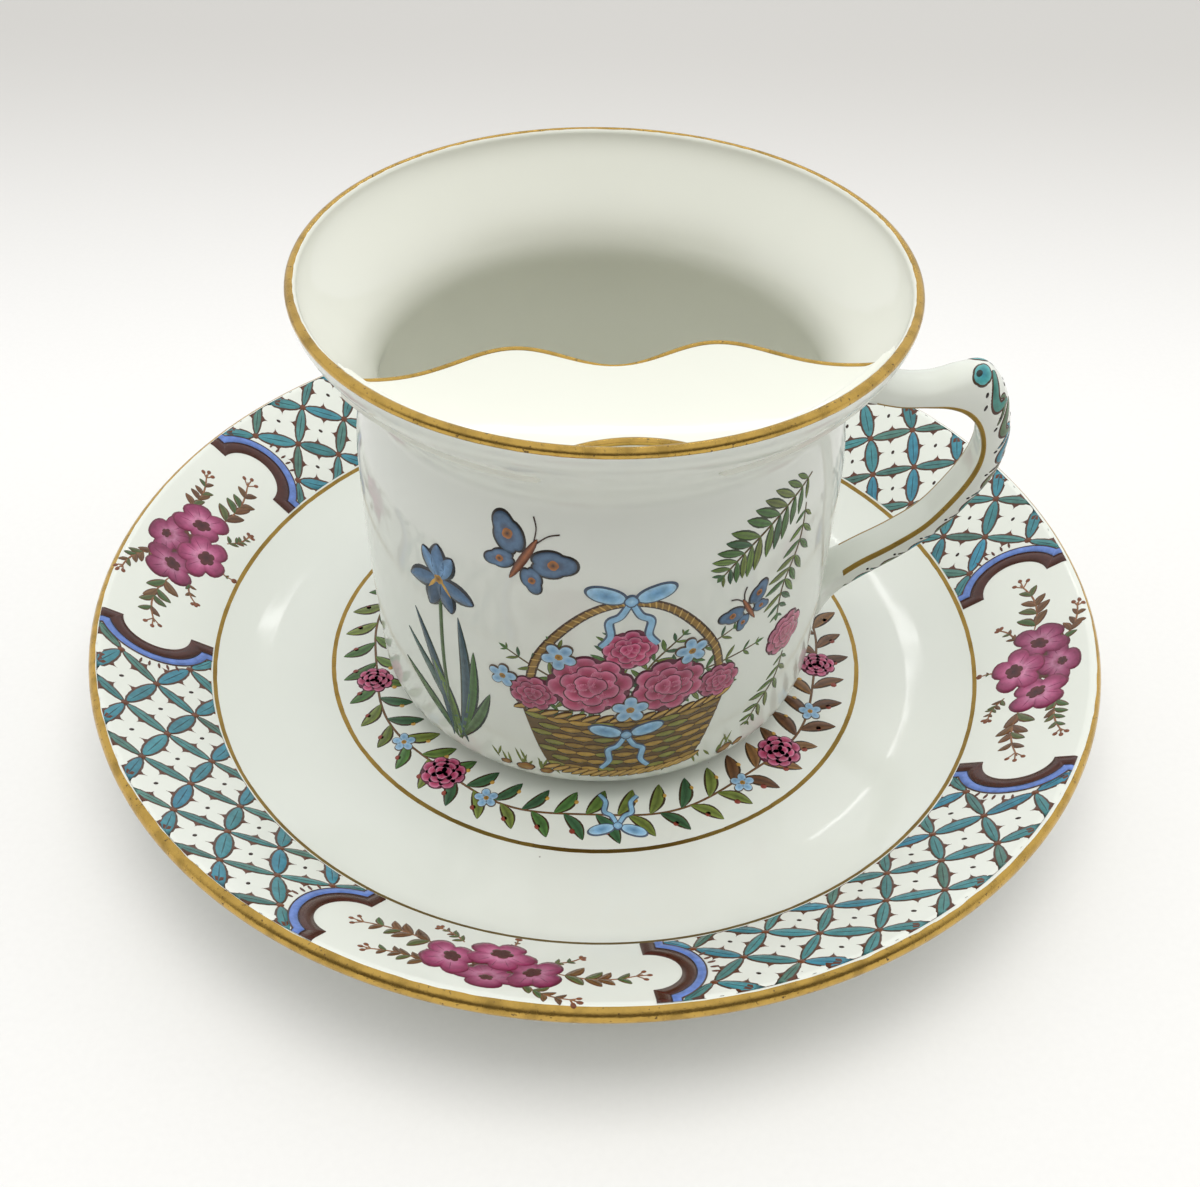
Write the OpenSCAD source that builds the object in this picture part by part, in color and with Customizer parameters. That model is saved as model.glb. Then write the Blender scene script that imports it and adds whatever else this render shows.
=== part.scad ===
// Moustache cup and saucer in bone china with fired gilding.
//
// The cup stands on the flat well of its saucer. A dished guard, stuck across the mouth just under
// the rim, keeps the drinker's moustache dry: the drink comes through the half-moon slot by the lip.
// The handle is moulded, with a thumb spur, and points along +X. The guard faces -Y, turned a little
// towards the handle. The origin is on the table, on the axis that cup and saucer share, and +Z is up.
// Lengths are in millimetres and angles in degrees.

/* [Saucer] */
// Diameter over the lip of the saucer
saucer_d = 170; // [158:1:184]
// Height of the saucer's lip above the table
saucer_h = 20.8; // [18:0.2:24]
// Thickness of the saucer's china
saucer_wall = 3; // [2.4:0.1:3.4]
// Height of the well's floor above the table
well_z = 6; // [5:0.2:7]
// Slope of the painted border
border_slope = 33; // [28:0.5:36]
// Radius of the curve from the well up to the border
well_curve_r = 24; // [16:1:34]
// Diameter over the saucer's foot ring
saucer_foot_d = 94; // [88:1:98]
// Width of the saucer's foot ring where it stands
saucer_foot_w = 3; // [2:0.5:4]
// Diameter of the gilt line round the picture in the well
centre_line_d = 92.8; // [84:0.5:100]
// Diameter of the gilt line inside the painted border
band_line_d = 132.4; // [126:0.5:140]

/* [Cup] */
// Height of the cup from its foot to its rim
cup_h = 77; // [72:0.5:84]
// Diameter over the cup's rim
rim_d = 92; // [88:1:98]
// Largest diameter of the body, at its belly
belly_d = 76.6; // [74:0.2:80]
// Height of the belly above the cup's foot
belly_h = 45.5; // [40:0.5:50]
// Diameter of the waist, where the flare starts
waist_d = 73; // [71:0.2:76]
// Diameter that the body would have at its foot without the round corner
base_d = 73; // [66:0.5:75]
// Height of the flared top of the cup
flare_h = 18.5; // [15:0.5:21]
// Thickness of the cup's china
cup_wall = 2.3; // [1.8:0.1:2.8]
// Radius of the round corner under the body
corner_r = 6; // [4:0.5:9]
// Diameter over the cup's foot ring
cup_foot_d = 48; // [42:1:50]
// Width of the cup's foot ring where it stands
cup_foot_w = 2.6; // [2:0.2:3.6]
// Height of the cup's foot ring
cup_foot_h = 1.8; // [1:0.1:3]

/* [Moustache guard] */
// Turn of the guard from square towards the handle
guard_turn = 6; // [0:1:12]
// Thickness of the guard
guard_t = 1.9; // [1.5:0.1:2.6]
// Depth of the guard's lowest line below the rim
guard_drop = 7; // [6:0.2:8]
// Distance of the guard's lowest line from the cup's axis
dish_y = 35.4; // [32:0.2:39]
// Radius of the guard's dish from front to back
dish_r = 70; // [55:1:90]
// Radius of the guard's dish from side to side
dish_side_r = 240; // [180:5:400]
// Distance of the guard's straight back edge from the cup's axis
edge_y = 23.4; // [21:0.2:26]
// Distance from the middle of the guard to the top of each lobe
lobe_x = 13.6; // [11:0.2:16]
// Rise of the two lobes over the straight edge
lobe_rise = 7.8; // [4:0.2:9]
// Width over which each lobe rises
lobe_w = 12.4; // [9:0.2:14]
// Distance of the drinking slot's inner edge from the cup's axis
slot_y = 34.6; // [33:0.2:36]
// Radius of the drinking slot's round inner edge
slot_r = 16.5; // [14:0.5:26]

/* [Handle] */
// Reach of the handle from the cup's axis
handle_reach = 64; // [60:0.5:72]
// Height of the top of the thumb spur above the cup's foot
handle_top_z = 61.6; // [58:0.2:65]
// Height of the lower end of the handle above the cup's foot
handle_low_z = 16; // [12:0.5:20]
// Width of the handle's strap
strap_w = 8; // [6:0.2:10]

/* [Gilding] */
// Thickness at which the fired gold is modelled
gold_t = 0.25; // [0.15:0.05:0.4]
// Width of a gilt line
gold_line_w = 1; // [0.6:0.1:1.4]

/* [Hidden] */

// How far a cutting shape runs past what it cuts
overrun = 1;
$fn = 96;

// Values of the saucer
saucer_r = saucer_d / 2;
saucer_lip_r = saucer_wall / 2;
saucer_lip = [saucer_r - saucer_lip_r, saucer_h - saucer_lip_r];
saucer_mid_z = well_z - saucer_lip_r;
saucer_foot_r = saucer_foot_d / 2;
// Where the lines of the flat well and of the sloping border would meet, half way through the wall
border_foot_r = saucer_lip[0] - (saucer_lip[1] - saucer_mid_z) / tan(border_slope);
well_mid_curve_r = well_curve_r + saucer_lip_r;
well_r = border_foot_r - well_mid_curve_r * tan(border_slope / 2);
well_steps = 10;
// A lip has this many sides, and its gilding runs from one corner to another, counted from its lean
lip_sides = 36;
saucer_gilt_first = -5;
saucer_gilt_last = 8;
rim_gilt_first = 1;
rim_gilt_last = 17;

// Values of the cup
rim_r = rim_d / 2;
belly_r = belly_d / 2;
waist_r = waist_d / 2;
base_r = base_d / 2;
cup_foot_r = cup_foot_d / 2;
rim_lip_r = cup_wall / 2;
lip_z = cup_h - rim_lip_r;
flare_z = cup_h - flare_h;
corner_top = cup_foot_h + corner_r;
// Share of a full S-curve that the flare goes through, so that the rim still leans outwards
flare_turn_share = 0.84;
flare_gain = (rim_r - belly_curve(lip_z)) / s_curve(flare_turn_share);
corner_steps = 8;
body_steps = 10;
flare_steps = 12;
// Height over which the slope of the wall is measured
slope_step = cup_wall / 100;
// Height where the outside of the wall meets the round of the rim
rim_z = lip_z + rim_lip_r * wall_normal(lip_z)[1];

// Values of the guard
guard_z = cup_h - guard_drop;
edge_steps = 64;

// Values of the handle. Each station of the strap has a point on its inner side, a point on its
// outer side and a half width. Points are shares of the way from the body to the reach, and of the
// height from the lower end to the top of the spur. Half widths are shares of the strap's width.
handle_h = handle_top_z - handle_low_z;
strap_shares = [
    [[-0.074, 0.904], [-0.074, 1.013], 0.575],
    [[0.105, 0.877], [0.105, 0.974], 0.512],
    [[0.280, 0.857], [0.300, 0.941], 0.475],
    [[0.447, 0.857], [0.475, 0.947], 0.463],
    [[0.580, 0.853], [0.634, 0.985], 0.463],
    [[0.685, 0.829], [0.767, 1.000], 0.450],
    [[0.763, 0.787], [0.879, 0.947], 0.450],
    [[0.809, 0.728], [0.957, 0.855], 0.463],
    [[0.821, 0.658], [1.000, 0.724], 0.475],
    [[0.790, 0.579], [0.973, 0.592], 0.475],
    [[0.708, 0.478], [0.868, 0.465], 0.475],
    [[0.572, 0.357], [0.704, 0.322], 0.463],
    [[0.389, 0.261], [0.494, 0.197], 0.463],
    [[0.206, 0.184], [0.276, 0.096], 0.475],
    [[0.074, 0.118], [0.113, 0.022], 0.512],
    [[-0.074, 0.035], [-0.074, -0.079], 0.600]
];
strap_steps = 4;
strap_sides = 24;
// Squareness of the strap's section on its flat inner side and on its outer side: 1 is an oval
strap_inner_share = 0.35;
strap_outer_share = 0.9;
// Where the strap is widest, as a share of the way from its inner to its outer side
strap_widest_share = 0.35;

white = [0.93, 0.94, 0.92];
gold = [0.76, 0.58, 0.24];

// The body narrows from its belly up to the waist and down to the base
function belly_curve(z) =
    z > belly_h
        ? belly_r - (belly_r - waist_r) * pow((z - belly_h) / (flare_z - belly_h), 2)
        : belly_r - (belly_r - base_r) * pow((belly_h - z) / belly_h, 2);

// Half a cosine wave, from 0 at 0 to 1 at 1
function s_curve(t) = (1 - cos(180 * min(max(t, 0), 1))) / 2;

// Radius of the cup's outside at a height above its foot: belly, plus flare, less the round corner
function cup_r(z) =
    belly_curve(z)
    + flare_gain * s_curve(flare_turn_share * (z - flare_z) / (lip_z - flare_z))
    - (corner_r - sqrt(pow(corner_r, 2) - pow(max(corner_top - z, 0), 2)));

// Heights of the profile's points, close together in the corner and the flare
profile_heights = concat(
    [for (i = [1 : corner_steps]) corner_top - corner_r * cos(90 * i / corner_steps)],
    [for (i = [1 : body_steps]) corner_top + (flare_z - corner_top) * i / body_steps],
    [for (i = [1 : flare_steps]) flare_z + (rim_z - flare_z) * i / flare_steps]
);

// Outward direction, square to the wall, at a height
function wall_normal(z) =
    let (fall = cup_r(z - slope_step) - cup_r(z), size = norm([slope_step, fall]))
    [slope_step / size, fall / size];

outer_profile = concat(
    [[cup_r(cup_foot_h), cup_foot_h]],
    [for (z = profile_heights) [cup_r(z), z]]
);
inner_profile = concat(
    [[cup_r(cup_foot_h), cup_foot_h + cup_wall]],
    [for (z = profile_heights) [cup_r(z), z] - cup_wall * wall_normal(z)]
);
rim_centre = [cup_r(rim_z), rim_z] - rim_lip_r * wall_normal(rim_z);
rim_lean = atan2(wall_normal(rim_z)[1], wall_normal(rim_z)[0]);

// Free edge of the guard: two bell curves side by side on a straight line
function bell(t) = exp(-t * t);
function guard_edge(x) =
    -edge_y + lobe_rise * (bell((x - lobe_x) / lobe_w) + bell((x + lobe_x) / lobe_w));

// One coordinate of a smooth curve through four stations, from the second to the third
function smooth_between(a, b, c, d, t) =
    b + t * ((c - a) + t * ((2 * a - 5 * b + 4 * c - d) + t * (3 * (b - c) + d - a))) / 2;

last_station = len(strap_shares) - 1;
function station(i) = strap_shares[min(max(i, 0), last_station)];
function strap_value(u) =
    let (i = min(floor(u), last_station - 1), t = u - i)
    [for (k = [0 : 2])
        smooth_between(station(i - 1)[k], station(i)[k], station(i + 1)[k], station(i + 2)[k], t)];

// A share point in the handle's plane, as a radius and a height above the cup's foot
function handle_point(share) =
    [belly_r + share[0] * (handle_reach - belly_r), handle_low_z + share[1] * handle_h];

function signed_power(v, p) = sign(v) * pow(abs(v), p);

// One ring of the strap: flat on its inner side, round on its outer side
function strap_ring(u) =
    let (v = strap_value(u), inside = handle_point(v[0]), outside = handle_point(v[1]),
         widest = inside + strap_widest_share * (outside - inside), w = v[2] * strap_w)
    [for (i = [0 : strap_sides - 1])
        let (a = 360 * i / strap_sides,
             towards = cos(a) > 0 ? outside - widest : widest - inside,
             power = cos(a) > 0 ? strap_outer_share : strap_inner_share,
             along = signed_power(cos(a), power))
        [widest[0] + along * towards[0], w * signed_power(sin(a), power), widest[1] + along * towards[1]]];

// A closed tube through rings of equal size
module ring_tube(rings) {
    n = len(rings[0]);
    last = len(rings) - 1;
    points = [for (ring = rings) each ring];
    sides = [for (j = [0 : last - 1], i = [0 : n - 1])
        let (a = j * n + i, b = j * n + (i + 1) % n)
        each [[a, b, b + n], [a, b + n, a + n]]];
    ends = [[for (i = [n - 1 : -1 : 0]) i], [for (i = [0 : n - 1]) last * n + i]];
    polyhedron(points = points, faces = concat(sides, ends), convexity = 6);
}

function reversed(list) = [for (i = [len(list) - 1 : -1 : 0]) list[i]];

// Corners of a round lip. Some lie where the straight sides of its wall end, which lean alike.
function lip_points(centre, lip_r, lean, first, last) =
    [for (i = [first : last])
        let (a = lean + 360 * i / lip_sides)
        centre + lip_r * [cos(a), sin(a)]];

module lip_round(centre, lip_r, lean) {
    polygon(lip_points(centre, lip_r, lean, 0, lip_sides - 1));
}

// Gilt skin on a round lip, from one corner to another
module lip_skin(centre, lip_r, lean, first, last) {
    polygon(concat(
        lip_points(centre, lip_r, lean, first, last),
        reversed(lip_points(centre, lip_r - gold_t, lean, first, last))
    ));
}

// Half section of the saucer at a distance from the middle of its wall: the well, the curve and the
// border as one line of points
function saucer_line(side) =
    let (curve_r = well_mid_curve_r - side)
    concat(
        [for (i = [0 : well_steps])
            let (a = border_slope * i / well_steps)
            [well_r + curve_r * sin(a), saucer_mid_z + well_mid_curve_r - curve_r * cos(a)]],
        [saucer_lip + side * [-sin(border_slope), cos(border_slope)]]
    );

// Height of the middle of the saucer's wall at a radius
function saucer_mid_height(r) =
    let (angle = asin(min(max((r - well_r) / well_mid_curve_r, 0), sin(border_slope))),
         arc_end_r = well_r + well_mid_curve_r * sin(border_slope))
    saucer_mid_z + well_mid_curve_r * (1 - cos(angle)) + max(r - arc_end_r, 0) * tan(border_slope);

foot_root_z = saucer_mid_height(saucer_foot_r - saucer_foot_w / 2);

module saucer_section() {
    top = saucer_line(saucer_lip_r);
    under = saucer_line(-saucer_lip_r);
    union() {
        polygon(concat(
            [[0, saucer_mid_z - saucer_lip_r]],
            under,
            reversed(top),
            [[0, well_z]]
        ));
        lip_round(saucer_lip, saucer_lip_r, border_slope);
        // Foot ring, a little wider at its root in the middle of the wall
        polygon([
            [saucer_foot_r, 0],
            [saucer_foot_r + saucer_foot_w / 4, foot_root_z],
            [saucer_foot_r - saucer_foot_w * 5 / 4, foot_root_z],
            [saucer_foot_r - saucer_foot_w, 0]
        ]);
    }
}

// Gilt line in the top of the saucer, flush with the glaze
module saucer_line_section(line_r) {
    intersection() {
        difference() {
            saucer_section();
            translate([0, -gold_t])
                saucer_section();
        }
        translate([line_r - gold_line_w / 2, saucer_mid_z])
            square([gold_line_w, saucer_h]);
    }
}

module saucer_lip_skin() {
    lip_skin(saucer_lip, saucer_lip_r, border_slope, saucer_gilt_first, saucer_gilt_last);
}

module saucer_dish() {
    color(white)
        rotate_extrude()
            difference() {
                saucer_section();
                saucer_lip_skin();
                saucer_line_section(band_line_d / 2);
                saucer_line_section(centre_line_d / 2);
            }
}

module saucer_lip_gilding() {
    color(gold)
        rotate_extrude()
            saucer_lip_skin();
}

module saucer_band_line() {
    color(gold)
        rotate_extrude()
            saucer_line_section(band_line_d / 2);
}

module saucer_centre_line() {
    color(gold)
        rotate_extrude()
            saucer_line_section(centre_line_d / 2);
}

// Everything on the cup is drawn from the bottom of its foot and stands on the saucer's well
module on_saucer() {
    translate([0, 0, well_z])
        children();
}

module rim_skin() {
    lip_skin(rim_centre, rim_lip_r, rim_lean, rim_gilt_first, rim_gilt_last);
}

module cup_section() {
    difference() {
        union() {
            polygon(concat(
                [[0, cup_foot_h]],
                outer_profile,
                reversed(inner_profile),
                [[0, cup_foot_h + cup_wall]]
            ));
            lip_round(rim_centre, rim_lip_r, rim_lean);
            // Foot ring, a little wider at its root
            polygon([
                [cup_foot_r - cup_foot_w, 0],
                [cup_foot_r, 0],
                [cup_foot_r + cup_foot_w / 4, cup_foot_h + cup_wall / 2],
                [cup_foot_r - cup_foot_w * 5 / 4, cup_foot_h + cup_wall / 2]
            ]);
        }
        rim_skin();
    }
}

module cup_bowl() {
    color(white)
        on_saucer()
            rotate_extrude()
                cup_section();
}

module cup_rim_gilding() {
    color(gold)
        on_saucer()
            rotate_extrude()
                rim_skin();
}

// The room inside the cup, up to the lip's round
module cup_room() {
    rotate_extrude()
        polygon(concat([[0, cup_foot_h + cup_wall]], inner_profile,
            [[0, inner_profile[len(inner_profile) - 1][1]]]));
}

// The cup's outside as a full body, for what seats against it
module cup_full_body() {
    rotate_extrude()
        polygon(concat([[0, cup_foot_h]], outer_profile, [[0, lip_z]]));
}

// A barrel on its side, whose underside is the guard's dish or lies a depth below it
module dish_barrel(depth) {
    translate([0, -dish_y, guard_z + dish_r])
        rotate([0, 90, 0])
            rotate_extrude()
                intersection() {
                    translate([dish_r - dish_side_r, 0])
                        circle(r = dish_side_r + depth, $fn = 360);
                    translate([0, -dish_side_r])
                        square([dish_r + depth + overrun, 2 * dish_side_r]);
                }
}

// A layer of the guard's dish, from one depth down to another
module dish_layer(top, bottom) {
    difference() {
        dish_barrel(bottom);
        dish_barrel(top);
    }
}

function edge_points(inset) =
    [for (i = [0 : edge_steps])
        let (x = rim_r - 2 * rim_r * i / edge_steps)
        [x, guard_edge(x) - inset]];

// Plan of the guard, with its free edge drawn in by an inset
module guard_plan(inset) {
    polygon(concat([[-rim_r, -rim_r], [rim_r, -rim_r]], edge_points(inset)));
}

module slot_plan(extra) {
    translate([0, -slot_y - slot_r])
        circle(r = slot_r + extra);
}

// Plan of the gilt line along the guard's free edge
module edge_line_plan() {
    polygon(concat(edge_points(0), reversed(edge_points(gold_line_w))));
}

// Plan of the gilt line round the drinking slot
module slot_line_plan() {
    difference() {
        slot_plan(gold_line_w);
        slot_plan(0);
    }
}

// A layer of the guard with a given plan, trimmed to the inside of the cup
module guard_part(top, bottom) {
    intersection() {
        dish_layer(top, bottom);
        linear_extrude(cup_h)
            children();
        cup_room();
    }
}

module guard_place() {
    on_saucer()
        rotate(guard_turn)
            children();
}

module moustache_guard() {
    color(white)
        guard_place()
            union() {
                guard_part(gold_t, guard_t)
                    difference() {
                        guard_plan(0);
                        slot_plan(0);
                    }
                // What rises between the gilt lines is rooted half way down
                guard_part(0, guard_t / 2)
                    difference() {
                        guard_plan(gold_line_w);
                        slot_plan(gold_line_w);
                    }
            }
}

module guard_edge_gilding() {
    color(gold)
        guard_place()
            guard_part(0, gold_t)
                edge_line_plan();
}

module guard_slot_gilding() {
    color(gold)
        guard_place()
            guard_part(0, gold_t)
                slot_line_plan();
}

module handle() {
    color(white)
        on_saucer()
            difference() {
                ring_tube([for (i = [0 : last_station * strap_steps]) strap_ring(i / strap_steps)]);
                cup_full_body();
            }
}

saucer_dish();
saucer_lip_gilding();
saucer_band_line();
saucer_centre_line();
cup_bowl();
cup_rim_gilding();
moustache_guard();
guard_edge_gilding();
guard_slot_gilding();
handle();
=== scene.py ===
"""Dresses the packed moustache cup and saucer in glazed china, worn gold and enamel painting."""

from types import SimpleNamespace

import bpy
import numpy as np
from mathutils import Matrix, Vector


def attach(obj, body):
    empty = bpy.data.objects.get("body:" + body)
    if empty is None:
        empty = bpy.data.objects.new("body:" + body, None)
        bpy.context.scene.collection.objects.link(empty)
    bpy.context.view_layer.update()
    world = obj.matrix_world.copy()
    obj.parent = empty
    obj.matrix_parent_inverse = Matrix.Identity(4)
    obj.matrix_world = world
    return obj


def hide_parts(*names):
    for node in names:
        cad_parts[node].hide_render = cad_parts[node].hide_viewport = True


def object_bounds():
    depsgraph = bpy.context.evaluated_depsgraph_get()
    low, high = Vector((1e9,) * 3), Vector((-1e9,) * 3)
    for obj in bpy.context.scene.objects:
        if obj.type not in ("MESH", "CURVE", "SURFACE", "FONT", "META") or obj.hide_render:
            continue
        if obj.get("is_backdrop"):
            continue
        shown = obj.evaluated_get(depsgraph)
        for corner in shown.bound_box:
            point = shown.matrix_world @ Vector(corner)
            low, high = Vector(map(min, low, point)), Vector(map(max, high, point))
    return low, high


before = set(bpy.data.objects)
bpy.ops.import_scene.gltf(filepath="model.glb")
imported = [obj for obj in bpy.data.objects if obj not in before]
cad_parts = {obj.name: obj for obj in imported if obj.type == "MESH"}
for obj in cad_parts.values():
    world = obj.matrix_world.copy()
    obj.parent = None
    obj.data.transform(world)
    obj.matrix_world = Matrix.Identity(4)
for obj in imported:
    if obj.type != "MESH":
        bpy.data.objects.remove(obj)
cad_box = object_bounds()

bl_info = {
    "name": "Moustache cup and saucer",
    "version": (1, 0, 0),
    "blender": (4, 5, 0),
    "location": "View3D > Sidebar > Moustache cup",
    "description": "Builds the china, the gilding and the painting of a moustache cup and saucer",
    "category": "Add Mesh",
}

MM = 0.001


# Units and colours


def length(name, description, value):
    """A length property, with its default given in millimetres."""
    return bpy.props.FloatProperty(
        name=name, description=description, default=value * MM, min=0, unit="LENGTH", precision=5
    )


def angle(name, description, value):
    """An angle property, with its default given in degrees."""
    return bpy.props.FloatProperty(
        name=name, description=description, default=np.radians(value), subtype="ANGLE"
    )


def number(name, description, value, low, high):
    """A plain number property between two ends."""
    return bpy.props.FloatProperty(name=name, description=description, default=value, min=low, max=high)


def linear(code):
    """An sRGB hex colour as linear red, green and blue."""
    parts = np.array([int(code[i : i + 2], 16) for i in (1, 3, 5)]) / 255
    return tuple(np.where(parts > 0.04045, ((parts + 0.055) / 1.055) ** 2.4, parts / 12.92).tolist())


def colour(name, description, code):
    """A colour property, with its default given as an sRGB hex colour."""
    return bpy.props.FloatVectorProperty(
        name=name, description=description, default=linear(code), size=3, min=0, max=1, subtype="COLOR"
    )


# Sizes and colours that a user would change


class SaucerSizes(bpy.types.PropertyGroup):
    """Sizes of the saucer"""

    diameter: length("Diameter", "Diameter over the lip", 170)
    height: length("Height", "Height of the lip above the table", 20.8)
    wall: length("Wall", "Thickness of the china", 3)
    well_z: length("Well height", "Height of the flat well above the table", 6)
    slope: angle("Border slope", "Slope of the painted border", 33)
    curve_r: length("Well curve", "Radius of the curve from the well up to the border", 24)
    foot_d: length("Foot diameter", "Diameter over the foot ring", 94)
    foot_w: length("Foot width", "Width of the foot ring where it stands", 3)
    ring_d: length("Centre line", "Diameter of the gilt line round the picture", 92.8)
    band_d: length("Border line", "Diameter of the gilt line inside the border", 132.4)


class CupSizes(bpy.types.PropertyGroup):
    """Sizes of the cup"""

    height: length("Height", "Height from the foot to the rim", 77)
    rim_d: length("Rim diameter", "Diameter over the rim", 92)
    belly_d: length("Belly diameter", "Largest diameter of the body", 76.6)
    belly_h: length("Belly height", "Height of the belly above the foot", 45.5)
    waist_d: length("Waist diameter", "Diameter where the flare starts", 73)
    base_d: length("Base diameter", "Diameter the body would have at its foot", 73)
    flare_h: length("Flare height", "Height of the flared top", 18.5)
    wall: length("Wall", "Thickness of the china", 2.3)
    corner_r: length("Corner radius", "Radius of the round corner under the body", 6)
    foot_d: length("Foot diameter", "Diameter over the foot ring", 48)
    foot_w: length("Foot width", "Width of the foot ring where it stands", 2.6)
    foot_h: length("Foot height", "Height of the foot ring", 1.8)


class GuardSizes(bpy.types.PropertyGroup):
    """Sizes of the moustache guard"""

    turn: angle("Turn", "Turn from square towards the handle", 6)
    thickness: length("Thickness", "Thickness of the guard", 1.9)
    drop: length("Drop", "Depth of its lowest line below the rim", 7)
    dish_y: length("Dish distance", "Distance of its lowest line from the axis", 35.4)
    dish_r: length("Dish radius", "Radius of the dish from front to back", 70)
    dish_side_r: length("Side radius", "Radius of the dish from side to side", 240)
    edge_y: length("Edge distance", "Distance of the straight edge from the axis", 23.4)
    lobe_x: length("Lobe distance", "Distance from the middle to each lobe", 13.6)
    lobe_rise: length("Lobe rise", "Rise of the lobes over the edge", 7.8)
    lobe_w: length("Lobe width", "Width over which a lobe rises", 12.4)
    slot_y: length("Slot distance", "Distance of the slot's edge from the axis", 34.6)
    slot_r: length("Slot radius", "Radius of the slot's round edge", 16.5)


class HandleSizes(bpy.types.PropertyGroup):
    """Sizes of the handle"""

    reach: length("Reach", "Reach of the handle from the axis", 64)
    top_z: length("Spur height", "Height of the thumb spur above the foot", 61.6)
    low_z: length("Lower end", "Height of the lower end above the foot", 16)
    width: length("Strap width", "Width of the strap", 8)


class GlazeLooks(bpy.types.PropertyGroup):
    """Colours of the china and the gold"""

    outside: colour("Outer china", "China on the cup's outside and on the saucer", "#e7eae2")
    inside: colour("Inner china", "China inside the cup, a little warmer", "#e7e8dd")
    gold: colour("Gold", "Fired gold", "#c6a254")
    gold_dark: colour("Rubbed gold", "Gold where it is rubbed and stained", "#7a6130")
    glaze_roughness: number("Glaze roughness", "Roughness of the lead glaze", 0.09, 0, 1)
    gold_roughness: number("Gold roughness", "Roughness of the burnished gold", 0.15, 0, 1)


class EnamelLooks(bpy.types.PropertyGroup):
    """Colours of the painted border"""

    teal: colour("Teal", "Leaves of the trellis", "#3f7f83")
    turquoise: colour("Turquoise", "Leaves of the trellis that lean the other way", "#35809a")
    olive_teal: colour("Olive teal", "Duller leaves of the trellis", "#4d7467")
    border_brown: colour("Brown band", "Dark band round a reserve", "#451d10")
    periwinkle: colour("Blue band", "Periwinkle band round a reserve", "#6482c8")
    roughness: number("Roughness", "Roughness of the enamel", 0.24, 0, 1)


class StudioLooks(bpy.types.PropertyGroup):
    """Floor, lights and camera"""

    floor: colour("Floor", "Pale matt floor", "#f2f1ef")
    key_power: number("Key light", "Power of the large soft light overhead, in watts", 2.3, 0, 100)
    fill_power: number("Side lights", "Power of each soft light at the sides, in watts", 0.35, 0, 100)
    sky_strength: number("Sky", "Strength of the even light all round", 1.04, 0, 10)
    lens: bpy.props.FloatProperty(
        name="Lens", description="Focal length on a 36 mm wide sensor", default=44.822, unit="CAMERA"
    )


# Places on the handle's strap: inner point and outer point as shares of the way from the body to the
# reach and from the low end to the spur, and half width as a share of the strap's width
STRAP = np.array(
    [
        (-0.074, 0.904, -0.074, 1.013, 0.575),
        (0.105, 0.877, 0.105, 0.974, 0.512),
        (0.280, 0.857, 0.300, 0.941, 0.475),
        (0.447, 0.857, 0.475, 0.947, 0.463),
        (0.580, 0.853, 0.634, 0.985, 0.463),
        (0.685, 0.829, 0.767, 1.000, 0.450),
        (0.763, 0.787, 0.879, 0.947, 0.450),
        (0.809, 0.728, 0.957, 0.855, 0.463),
        (0.821, 0.658, 1.000, 0.724, 0.475),
        (0.790, 0.579, 0.973, 0.592, 0.475),
        (0.708, 0.478, 0.868, 0.465, 0.475),
        (0.572, 0.357, 0.704, 0.322, 0.463),
        (0.389, 0.261, 0.494, 0.197, 0.463),
        (0.206, 0.184, 0.276, 0.096, 0.475),
        (0.074, 0.118, 0.113, 0.022, 0.512),
        (-0.074, 0.035, -0.074, -0.079, 0.600),
    ]
)
# Powers that square or round the section's inner and outer half, and where between them it is widest
STRAP_INNER_POWER, STRAP_OUTER_POWER, STRAP_WIDEST = 0.35, 0.9, 0.35
# Share that the strap grows by at its roots, and the distance in mm over which that fades
ROOT_SWELL, ROOT_FADE = 0.42, 1.3
# Part of half a cosine wave that the cup's flare follows
FLARE_TURN = 0.84
# In mm: the glaze's depth under a gilt strip, the strip's rise over the glaze and its thickness
GOLD_SINK, GOLD_RISE, GOLD_THICK = 0.07, 0.01, 0.3
# In mm: what the cup's wall loses at the lip, and the height over which it thins
LIP_THINNED, LIP_HEIGHT = 0.6, 6
# Where the brush went further in on the saucer's lip
FRONT_LEFT = np.radians(-135)


def sizes():
    """Every size in millimetres and radians, with the values that follow from them."""
    scene = bpy.context.scene
    made = {}
    for part in ("saucer", "cup", "guard", "handle"):
        group = getattr(scene, f"china_{part}")
        values = {}
        for key, prop in group.bl_rna.properties.items():
            if prop.type == "FLOAT":
                values[key] = getattr(group, key) / (1 if prop.subtype == "ANGLE" else MM)
        made[part] = SimpleNamespace(**values)
    s = made["saucer"]
    s.lip_r = s.wall / 2
    s.lip = np.array([s.diameter / 2 - s.lip_r, s.height - s.lip_r])
    s.mid_z = s.well_z - s.lip_r
    s.mid_curve_r = s.curve_r + s.lip_r
    border_foot = s.lip[0] - (s.lip[1] - s.mid_z) / np.tan(s.slope)
    s.well_r = border_foot - s.mid_curve_r * np.tan(s.slope / 2)
    c = made["cup"]
    c.lip_z = c.height - c.wall / 2
    c.flare_z = c.height - c.flare_h
    # The flare adds what the body lacks to reach the rim's radius at the lip
    c.flare_gain = 0.0
    part_turn = (1 - np.cos(np.pi * FLARE_TURN)) / 2
    c.flare_gain = (c.rim_d / 2 - cup_radius(c, np.array([c.lip_z]))[0]) / part_turn
    c.well_z = s.well_z
    g = made["guard"]
    g.z = c.height - g.drop
    return SimpleNamespace(**made)


# Shapes in numbers


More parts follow.
